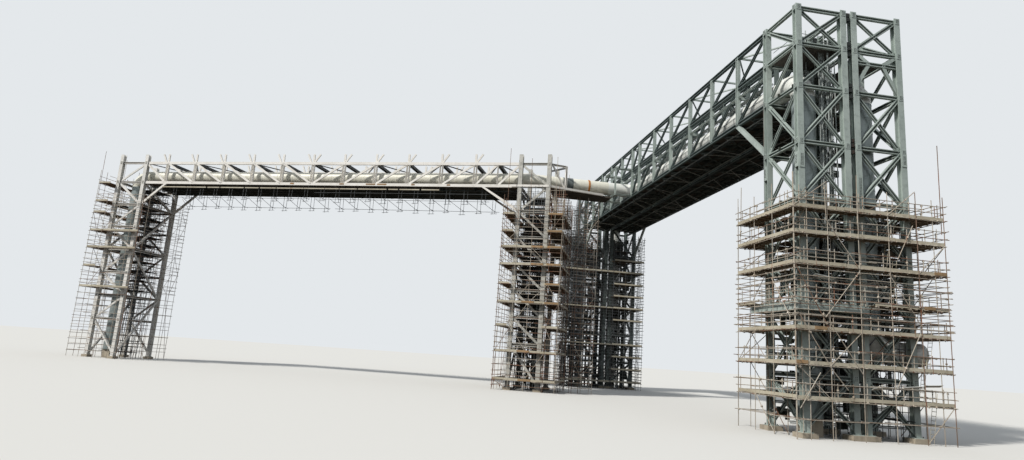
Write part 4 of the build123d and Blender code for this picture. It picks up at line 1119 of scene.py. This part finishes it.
# kerb boards under the near chord of the old span, in broken lengths, and its rusty patches
kerbBoards = {"from": 4.4, "to": 55, "share": 0.85, "row": -0.12, "level": 26.02, "thick": 0.04, "tall": 0.15}
a = kerbBoards["from"]
while a < kerbBoards["to"]:
    b = a + spread(1.2, 4.5)
    if chance.random() < kerbBoards["share"]:
        toes.append(chordStrip(a, b, *(kerbBoards[k] for k in ("row", "level", "thick", "tall"))))
    a = b + spread(0.05, 0.3)
for a, b in ((19.2, 20.6), (20.9, 22.3), (25.7, 26.4), (15.0, 15.5), (33.6, 34.2), (9.8, 10.3)):
    freshBoards.append(chordStrip(a, b, -0.13, 26.74, 0.03, 0.2))
keep("oldTowerScaffoldBoards", [
    blocks(boards, plainBoard), blocks(toes, toeBoard), blocks(innerBoards, shadedBoard),
    blocks(freshBoards, freshBoard)],
    "scaffold_board", "mid_tower_scaffold_decks", "left_tower_scaffold_decks")

boards, toes, lines = [], [], []
(x0, x1), (y0, y1), lifts, top = (farScaffold[k] for k in ("x", "y", "lifts", "top"))
yLeg, xLeg = farY - clear, legs[3] + clear
for z in farScaffold["decks"]:
    boards += planks(x0, xLeg, y0, yLeg, z) + planks(xLeg, x1, y0, y1, z)
    toes += toe(x0, y0, x1, y0, z) + toe(x1, y0, x1, y1, z)
for z in lifts[:-1]:
    for low, high in modules:
        boards += planks(low + 0.3, high - 0.3, farY + 0.3, farY + depth - 0.3, z)
    if chance.random() < 0.75:
        boards += planks(4.9, x1 - 0.1, y0 + 0.1, yLeg, z)
        toes += toe(4.9, y0 - 0.06, x1, y0 - 0.06, z)
    if chance.random() < 0.5:
        boards += planks(x0 + 0.2, 2.0, y0 + 0.1, yLeg, z)
posts = [1.05 * i for i in range(13)]
leftEnd, first, last = x0 + 0.2, legs[0], legs[3]
for a, b, standards, decks, height, braces, layers in (
        (x0, x1, posts, lifts, top, 0.3, [y0 - out]),
        (first + 0.3, last - 0.3, posts[:-5], lifts, top, 0.25, [farY - 0.5, farY + 1.5, farY + 3.2]),
        (leftEnd, first - 0.2, [0, 0.9, 1.7, 2.6, 3.1], lifts, top, 0.35,
         [y0 + 0.1] + [farY + dy for dy in (-0.9, -0.4, 0.8, 1.5, 2.2, 2.9, 3.6)]),
        (leftEnd, first + 0.2, [0.3, 1.3, 2.2, 3.2], lifts + [27.4, 29.2], 30.2, 0.35,
         [y0 + 0.1, farY - 0.6, farY + 1.2, farY + 2.6])):
    for y in layers:
        lines += scaffoldWall(
            here, (a, y, b, y), standards, decks, height, 0.9, rails=(0.5, 1.0), braces=braces)
for z in lifts[:-1]:
    boards += planks(x0 + 0.3, first - 0.3, farY + 0.2, farY + 3.8, z)
    lines += ladder(here(x1 - 0.55, y0 + 0.5, z), here(x1 - 0.55, y0 + 1.0, z + 2.6))
posts = [0, 1.2, 2.4, 4.2, y1 - y0]
lines += scaffoldWall(here, (x1 + out, y0, x1 + out, y1), posts, lifts, top, 0.8, rails=(0.5, 1.0))
lines += scaffoldWall(here, (last + 0.35, y0, last + 0.35, y1), [0, 2.4, 4.2], lifts, top, 1.9, rails=(1.0,))
keep("farTowerScaffoldBoards", [blocks(boards, plainBoard), blocks(toes, toeBoard)],
     "scaffold_board", "far_tower_scaffold_decks")

# Tubes hung under the older span, with short hooks at the feet of the hangers.
hanging = {"rows": (0.4, 6.6), "first": 4.8, "last": 55.5, "step": 2.4, "top": 26.5, "foot": 24.2}
hung, high = [], hanging["top"]
for t in hanging["rows"]:
    hung += [tube(oldPoint, 4.2, t, 24.55, 30.2, t, 24.6), tube(oldPoint, 31.0, t, 24.6, 56.4, t, 24.55)]
    a = hanging["first"]
    while a < hanging["last"]:
        low = hanging["foot"] + spread(-0.15, 0.15)
        hung += [tube(oldPoint, a, t, high, a + spread(-0.12, 0.12), t, low),
                 tube(oldPoint, a + 0.5, t, high, a + 0.5, t, low - 0.1),
                 tube(oldPoint, a - 0.25, t, low + 0.02, a + 0.75, t, low),
                 tube(oldPoint, a, t - 0.5, 24.62, a, t + 0.6, 24.62)]
        if t > 1:
            hung.append(tube(oldPoint, a + 2.3, t, 26.15, a + 0.1, t, 24.6))
        a += hanging["step"] * spread(0.93, 1.07)
hung.append(tube(oldPoint, 4.2, 0.4, 25.6, 30.4, 0.4, 25.55))
# tubes at the ends of the scaffolds are rustier than those between the legs
rusty = []
for p, q in oldLines:
    s = ((p + q) / 2 - oldPoint(0, 0, 0)).dot(oldDir)
    inside = any(low + 0.2 < s < high - 0.2 for low, high in (old["midTower"], old["leftTower"]))
    if chance.random() < scaffold["rustyInside" if inside else "rustyOutside"]:
        rusty.append((p, q))
plainOnes = [line for line in oldLines if line not in rusty]
keep("towerScaffoldTubes", [
    tubes(plainOnes, tubeRadius, plainTube, 5), tubes(rusty, tubeRadius, rustyTube, 5),
    tubes(lines + innerTubes, tubeRadius, darkTube, 5), tubes(hung, tubeRadius, darkTube, 5)],
    "scaffold_tube", "tower_scaffold_standards")
print("stage: other scaffolds")

# Corner frame, balcony and platform edges; u runs along the frame, v behind it.
corner = {"angle": 11, "post": 2.49, "start": 0.3, "end": 8.15, "edgeGap": 0.05, "edge": (0.3, 0.1)}
wing = math.radians(corner["angle"])
wingDir = Vector((math.cos(wing), math.sin(wing), 0))
wingOut = Vector((wingDir.y, -wingDir.x, 0))
wingStart = oldPoint(old["midTower"][0], 0, 0)


def wingPoint(u, v, z):
    return wingStart + wingDir * u - wingOut * v + Vector((0, 0, z))


def wingBar(ends, facing, wide, deep, flat=False):
    return member(*tube(wingPoint, *ends), facing, wide, deep, flat=flat)


low, high, post, start = oldBottom, oldTop, corner["post"], corner["start"]
frameBars = [
    wingBar((start, 0, low, corner["end"], 0, low), wingOut, 0.3, 0.24),
    wingBar((start, 0, high, post, 0, high), wingOut, 0.26, 0.22),
    wingBar((post, 0, low, post, 0, high + 0.1), wingOut, 0.26, 0.24),
    wingBar((0.4, 0, high, 2.4, 0, low), wingOut, 0.2, 0.16, True),
    wingBar((0.4, 0, low + 0.2, 2.4, 2.8, low + 0.2), down, 0.16, 0.16),
]
shadedFrame = [wingBar((post, 0.2, high - 0.1, 1.2, 3.0, high - 0.1), down, 0.2, 0.2)]
edge = -oldHalf - corner["edgeGap"]
edgeTurn = oldPoint(old["midTower"][0], edge, low) + wingDir * 0.1
edgeBeams = [member(oldPoint(1.2, edge, low), edgeTurn, oldOut, *corner["edge"], flat=True),
             member(edgeTurn, wingPoint(8.1, -0.2, low), wingOut, *corner["edge"], flat=True)]
keep("cornerFrame", [
    sections(frameBars, greyPaint, greyWeb), sections(edgeBeams, greyPaint, greyPaint),
    sections(shadedFrame, shadedGrey, shadedGrey)], "old_grey_steel", "corner_frame_bracing")
balcony = {"out": -2.4, "in": -0.17, "bar": (0.2, 0.2), "rail": (0.22, 0.2), "past": 0.1}
bars, outX, inX, chords = [], balcony["out"], balcony["in"], (bottomChord, midChord)
yFirst, yLast = stations[pipeBay:pipeBay + 2]
for y in (yFirst, yLast):
    p, q = (outX, y, bottomChord - balcony["past"]), (outX, y, midChord + balcony["past"])
    bars.append(member(p, q, leftward, *balcony["bar"]))
    bars += [member((outX, y, z), (inX, y, z), forward, *balcony["bar"]) for z in chords]
bars += [member((outX, yFirst, z), (outX, yLast, z), leftward, *balcony["rail"]) for z in chords]
keep("pipeEntryBalcony", [sections(bars, greenPaint, greenWeb)], "green_steel", "pipe_entry_balcony")
print("stage: corner")

# Steel details: splice plates, gussets on the legs, base plates with bolts. A plate is given by width,
# height, rows of bolts and thickness; a base by its side, the reach, width and lift of its anchor bolts.
detail = {
    "frontSplice": 0.44, "sideSplice": (0.4, 1.2, 6), "frontGusset": (0.36, 0.5, 3, 0.03),
    "sideGusset": (0.3, 0.46, 3, 0.03), "base": (0.78, 0.31, 0.09, 0.11), "oldBase": (0.66, 0.26, 0.08, 0.1),
    "oldGusset": (0.3, 0.03, 0.44), "pitch": 0.12, "oldPitch": 0.13, "oldProud": 0.04, "baseThick": 0.06,
    "anchorLong": 0.1,
}
plates, heads = [], []
baseZ = green["footingTop"]


def bolted(centre, facing, wide, tall, rows, thick=0.05):
    plates.append(block(Vector(centre) + facing * thick / 2, up, facing, (wide, thick, tall)))
    heads.extend(boltGrid(centre, up, facing, 2, rows, detail["pitch"], thick + steel["headLift"]))


def basePlate(place, u, v, facings, side, reach, anchor, lift):
    # plate under a leg with an anchor bolt near each corner
    thick, size = detail["baseThick"], (anchor, anchor, detail["anchorLong"])
    plates.append((place(u, v, baseZ + thick / 2), aim(up, facings[0]), (side, side, thick)))
    heads.extend((place(u + du, v + dv, baseZ + lift), aim(up, facings[1]), size)
                 for du in (-reach, reach) for dv in (-reach, reach))


for x, low, high in ((legs[0], 19.93, 21.21), (legs[2], 17.3, 20.02), (legs[3], 20.91, 21.99),
                     (legs[0], 7.9, 9.0), (legs[1], 8.2, 9.3)):
    rows = max(4, int((high - low) / 0.16))
    bolted((x, -clear, (low + high) / 2), forward, detail["frontSplice"], high - low, rows)
for y in (0, depth):
    for z in (20.6, 8.4):
        bolted((-clear, y, z), leftward, *detail["sideSplice"])
for x in legs:
    for z in levels:
        bolted((x, -clear, z), forward, *detail["frontGusset"])
        bolted((x, depth + clear, z), backward, *detail["frontGusset"])
for z in levels:
    for y in (0, depth):
        bolted((legs[0] - clear, y, z), leftward, *detail["sideGusset"])
        bolted((legs[3] + clear, y, z), rightward, *detail["sideGusset"])
for y in (0, depth, farY, farY + depth):
    for x in legs:
        basePlate(here, x, y, (forward, backward), *detail["base"])
keep("legPlates", [blocks(plates, greenPaint), blocks(heads, darkPacker, "bolt")], "green_steel")
plates, heads = [], []
for a in old["midTower"] + old["leftTower"]:
    for t, side, outward in ((0, -oldHalf, oldOut), (oldWidth, oldHalf, oldNormal)):
        basePlate(oldPoint, a, t, (oldOut, oldOut), *detail["oldBase"])
        for z in oldLevels:
            face = oldPoint(a, t + side, z)
            plates.append((face + outward * 0.015, aim(up, outward), detail["oldGusset"]))
            heads += boltGrid(face, up, outward, 2, 3, detail["oldPitch"], detail["oldProud"])
keep("oldLegPlates", [blocks(plates, darkerGrey), blocks(heads, greyWeb, "bolt")], "old_grey_steel")
print("stage: plates and bolts")

# Services inside the near tower and along the twin span: cable ladders, small pipes, boxes, rails.
trayLines, smallPipes, boxes, rails, darkPipes = [], [], [], [], []
services = {
    "trayTube": 0.028, "pipe": 0.05, "darkPipe": 0.08, "railTube": 0.024, "rungs": 0.32, "spanRungs": 0.6,
    "spanStart": 4.7, "spanEnd": 61.0, "sparePipes": 44, "cabinets": 26, "nearBoxes": 110, "farBoxes": 190,
    "farPipes": 26, "midBoxes": 70, "midPipes": 8,
}
spanStart, spanEnd = services["spanStart"], services["spanEnd"]


def cableLadder(p, q, pitch, wide=0.42):
    p, q, reach = Vector(p), Vector(q), rightward * wide / 2
    count = int((q - p).length / pitch)
    trayLines.extend([(p - reach, q - reach), (p + reach, q + reach)])
    trayLines.extend((at - reach, at + reach) for at in (p.lerp(q, i / count) for i in range(1, count)))


def box(x, y, z, wide, deep, tall):
    boxes.append(block((x, y, z), up, forward, (wide, deep, tall)))


for x, y, low, high in ((2.55, 0.75, 3.4, 30.2), (3.25, 0.7, 8.0, 29.3), (2.9, 3.5, 3.4, 29.8),
                        (7.7, 0.9, 3.6, 17.4), (8.3, 2.2, 8.0, 17.8)):
    cableLadder((x, y, low), (x, y, high), services["rungs"])
    smallPipes += [((x + dx, y + 0.08, low), (x + dx, y + 0.08, high)) for dx in (-0.12, 0, 0.12)]
for x, z in ((0.62, 28.9), (3.2, 29.75), (3.25, 28.7), (3.25, 27.9), (5.6, 29.75), (5.45, 28.4), (8.2, 28.6)):
    cableLadder((x, spanStart, z), (x, spanEnd, z), services["spanRungs"])
    y0, y1 = spanStart + 0.1, spanEnd - 0.1
    smallPipes += [((x + dx, y0, z + 0.07), (x + dx, y1, z + 0.07)) for dx in (-0.13, 0, 0.13)]
for k in range(7):
    x, y = 2.35 + k * 0.2, 0.5 + (k % 3) * 0.35
    smallPipes.append(((x, y, 5.0 + k), (x, y, 28.0 + (k % 4) * 0.7)))
for i in range(services["sparePipes"]):
    x = spread(2.3, 3.75) if i % 5 else spread(7.4, 8.4)
    y = spread(0.4, 3.9)
    z = spread(8, 29) if i % 5 else spread(4, 12)
    smallPipes += [((x, y, z), (x, y, z + spread(1.5, 6))), ((x, y, z), (x + spread(-0.8, 0.8), y, z))]
for i in range(services["cabinets"]):
    x = spread(2.4, 3.7) if i % 6 else spread(7.4, 8.4)
    box(x, spread(0.5, 3.9), spread(4, 30 if i % 6 else 17), spread(0.25, 0.5), 0.2, spread(0.3, 0.7))
# low lines and their valves among the legs
for z, y in ((0.9, 0.9), (1.6, 3.2), (2.2, 2.8), (3.1, 3.6), (4.4, 3.3), (5.8, 3.9), (6.9, 3.0)):
    smallPipes += [((-0.6, y, z), (9.4, y, z)), ((-0.6, y + 0.25, z + 0.1), (9.4, y + 0.25, z + 0.1))]
    for i in range(5):
        box(spread(-0.3, 9.0), y, z, spread(0.2, 0.5), 0.3, spread(0.3, 0.9))
for i in range(services["nearBoxes"]):
    box(spread(0.2, 8.6), spread(2.7, 4.0), spread(0.8, 17), spread(0.2, 0.6), 0.25, spread(0.3, 1.3))
for i in range(services["farBoxes"]):
    x, y = spread(-3.3, 8.6), farY + spread(0.4, 4.0)
    box(x, y, spread(0.8, 25.5), spread(0.2, 0.7), 0.3, spread(0.4, 1.7))
for i in range(services["farPipes"]):
    x, y = spread(-3.3, 8.6), farY + spread(0.6, 4.0)
    darkPipes.append(((x, y, 0.1), (x, y, spread(17, 25.8))))
for i in range(services["midBoxes"]):
    centre = oldPoint(spread(-3.5, -0.4), spread(1.2, 6.4), spread(1.0, 23))
    boxes.append((centre, aim(up, oldOut), (spread(0.15, 0.45), 0.2, spread(0.3, 1.3))))
for i in range(services["midPipes"]):
    a, t = spread(-3.4, -0.5), spread(1.2, 6.4)
    darkPipes.append(tube(oldPoint, a, t, 0.1, a, t, spread(17, 24)))
# panels at the back of the scaffolded lifts, then more inside the far tower, all near black as painted shade
for x, z, wide, tall in ((5.8, 11.3, 1.1, 1.9), (3.2, 14.9, 0.8, 1.6), (6.9, 8.9, 0.9, 1.3),
                         (1.9, 5.9, 0.9, 1.2), (5.7, 4.6, 1.0, 1.5)):
    box(x, 3.95, z, wide, 0.2, tall)
for x, z, wide, tall in ((2.4, 20.6, 1.9, 4.4), (4.4, 14.0, 0.6, 22.0), (6.5, 23.6, 2.3, 3.2),
                         (2.4, 14.6, 1.6, 3.6), (6.6, 12.4, 1.8, 3.0)):
    box(x, 63.6, z, wide, 0.2, tall)
# pipe clamps and stays round the risers
for x in (pipes["x"], sx):
    for z in levels[:-2]:
        boxes += [block((x, ry + dy, z + 0.1), rightward, up, (0.12, 0.2, 3.2)) for dy in (-1.0, 1.0)]
# walkway rails on the twin span
for x in (legs[0] + 0.35, legs[3] - 0.35, legs[1] - 0.4):
    rails += [((x, y0, z), (x, y1, z)) for z in (27.4, 27.9)]
    rails += [((x, y, 26.75), (x, y, 27.9)) for y in [5.5 + 1.8 * i for i in range(31)]]
rails += [((0.3, 0.35, z), (3.6, 0.35, z)) for z in (30.9, 31.4)]
rails += [((0.35, 0.35, z), (0.35, 4.0, z)) for z in (30.9, 31.4)]
rails.append(((-0.4, 4.37, 16.0), (-0.4, 4.37, 27.0)))
trayBars = [member((x, spanStart, portal), (x, spanEnd, portal), leftward, 0.16, 0.16)
            for x in (legs[0], legs[3])]
# boxes and dark pipes take the near-black lagging: painted shade for the dark insides of the towers
keep("towerServices", [
    tubes(trayLines, services["trayTube"], dullZinc, 4),
    tubes(smallPipes, services["pipe"], finishes["service_pipe"]), blocks(boxes, shadeBlackLagging),
    tubes(darkPipes, services["darkPipe"], shadeBlackLagging), tubes(rails, services["railTube"], dullZinc, 5),
    sections(trayBars, greenPaint, greenWeb)], "service_pipe")
print("stage: services")

# Stage: pale floor, pale world, one soft sun from the upper left.
light = {"floor": "#d9d8d4", "bounce": "#57534d", "sky": "#e4e8eb", "fill": "#dfe6ee", "fillStrength": 0.57,
         "sunEnergy": 3.4, "sunAngle": 4, "sunColour": (1.0, 0.97, 0.92), "sunFrom": (-0.66, -0.34, 0.66)}
floorMesh = bpy.data.meshes.new("paleFloor")
floorMesh.from_pydata([(-60, -60, 0), (60, -60, 0), (60, 60, 0), (-60, 60, 0)], [], [(0, 1, 2, 3)])
floor = addObject("paleFloor", floorMesh)
# pale to the eye, but throws little light back under the decks
floorPaint = bpy.data.materials.new("paleFloorPaint")
world = bpy.data.worlds.new("paleWorld")
for owner in (floorPaint, world):
    owner.use_nodes = True
    owner.node_tree.nodes.clear()
tree = floorPaint.node_tree
seen = addNode(tree, "ShaderNodeLightPath").outputs["Is Camera Ray"]
pale, dull = (addNode(tree, "ShaderNodeBsdfDiffuse", {"Color": hexColour(text)}).outputs[0]
              for text in (light["floor"], light["bounce"]))
mixed = addNode(tree, "ShaderNodeMixShader", {0: seen, 1: dull, 2: pale})
addNode(tree, "ShaderNodeOutputMaterial", {"Surface": mixed.outputs[0]})
floorMesh.materials.append(floorPaint)

bpy.context.scene.world = world
tree = world.node_tree
rays = addNode(tree, "ShaderNodeLightPath").outputs
fill, sky = (
    addNode(tree, "ShaderNodeBackground", {"Color": hexColour(light[key]), "Strength": strength}).outputs[0]
    for key, strength in (("fill", light["fillStrength"]), ("sky", 1.0)))
direct = rays["Is Camera Ray"]
for kind in ("Is Glossy Ray", "Is Transmission Ray"):
    both = addNode(tree, "ShaderNodeMath", {0: direct, 1: rays[kind]}, operation="ADD", use_clamp=True)
    direct = both.outputs[0]
mixed = addNode(tree, "ShaderNodeMixShader", {0: direct, 1: fill, 2: sky})
addNode(tree, "ShaderNodeOutputWorld", {"Surface": mixed.outputs[0]})

sun = bpy.data.lights.new("softSun", "SUN")
sun.energy = light["sunEnergy"]
sun.angle = math.radians(light["sunAngle"])
sun.color = light["sunColour"]
addObject("softSun", sun).rotation_euler = Vector(light["sunFrom"]).to_track_quat("Z", "Y").to_euler()

bpy.context.scene.view_settings.view_transform = "Standard"
print("stage: floor and light")
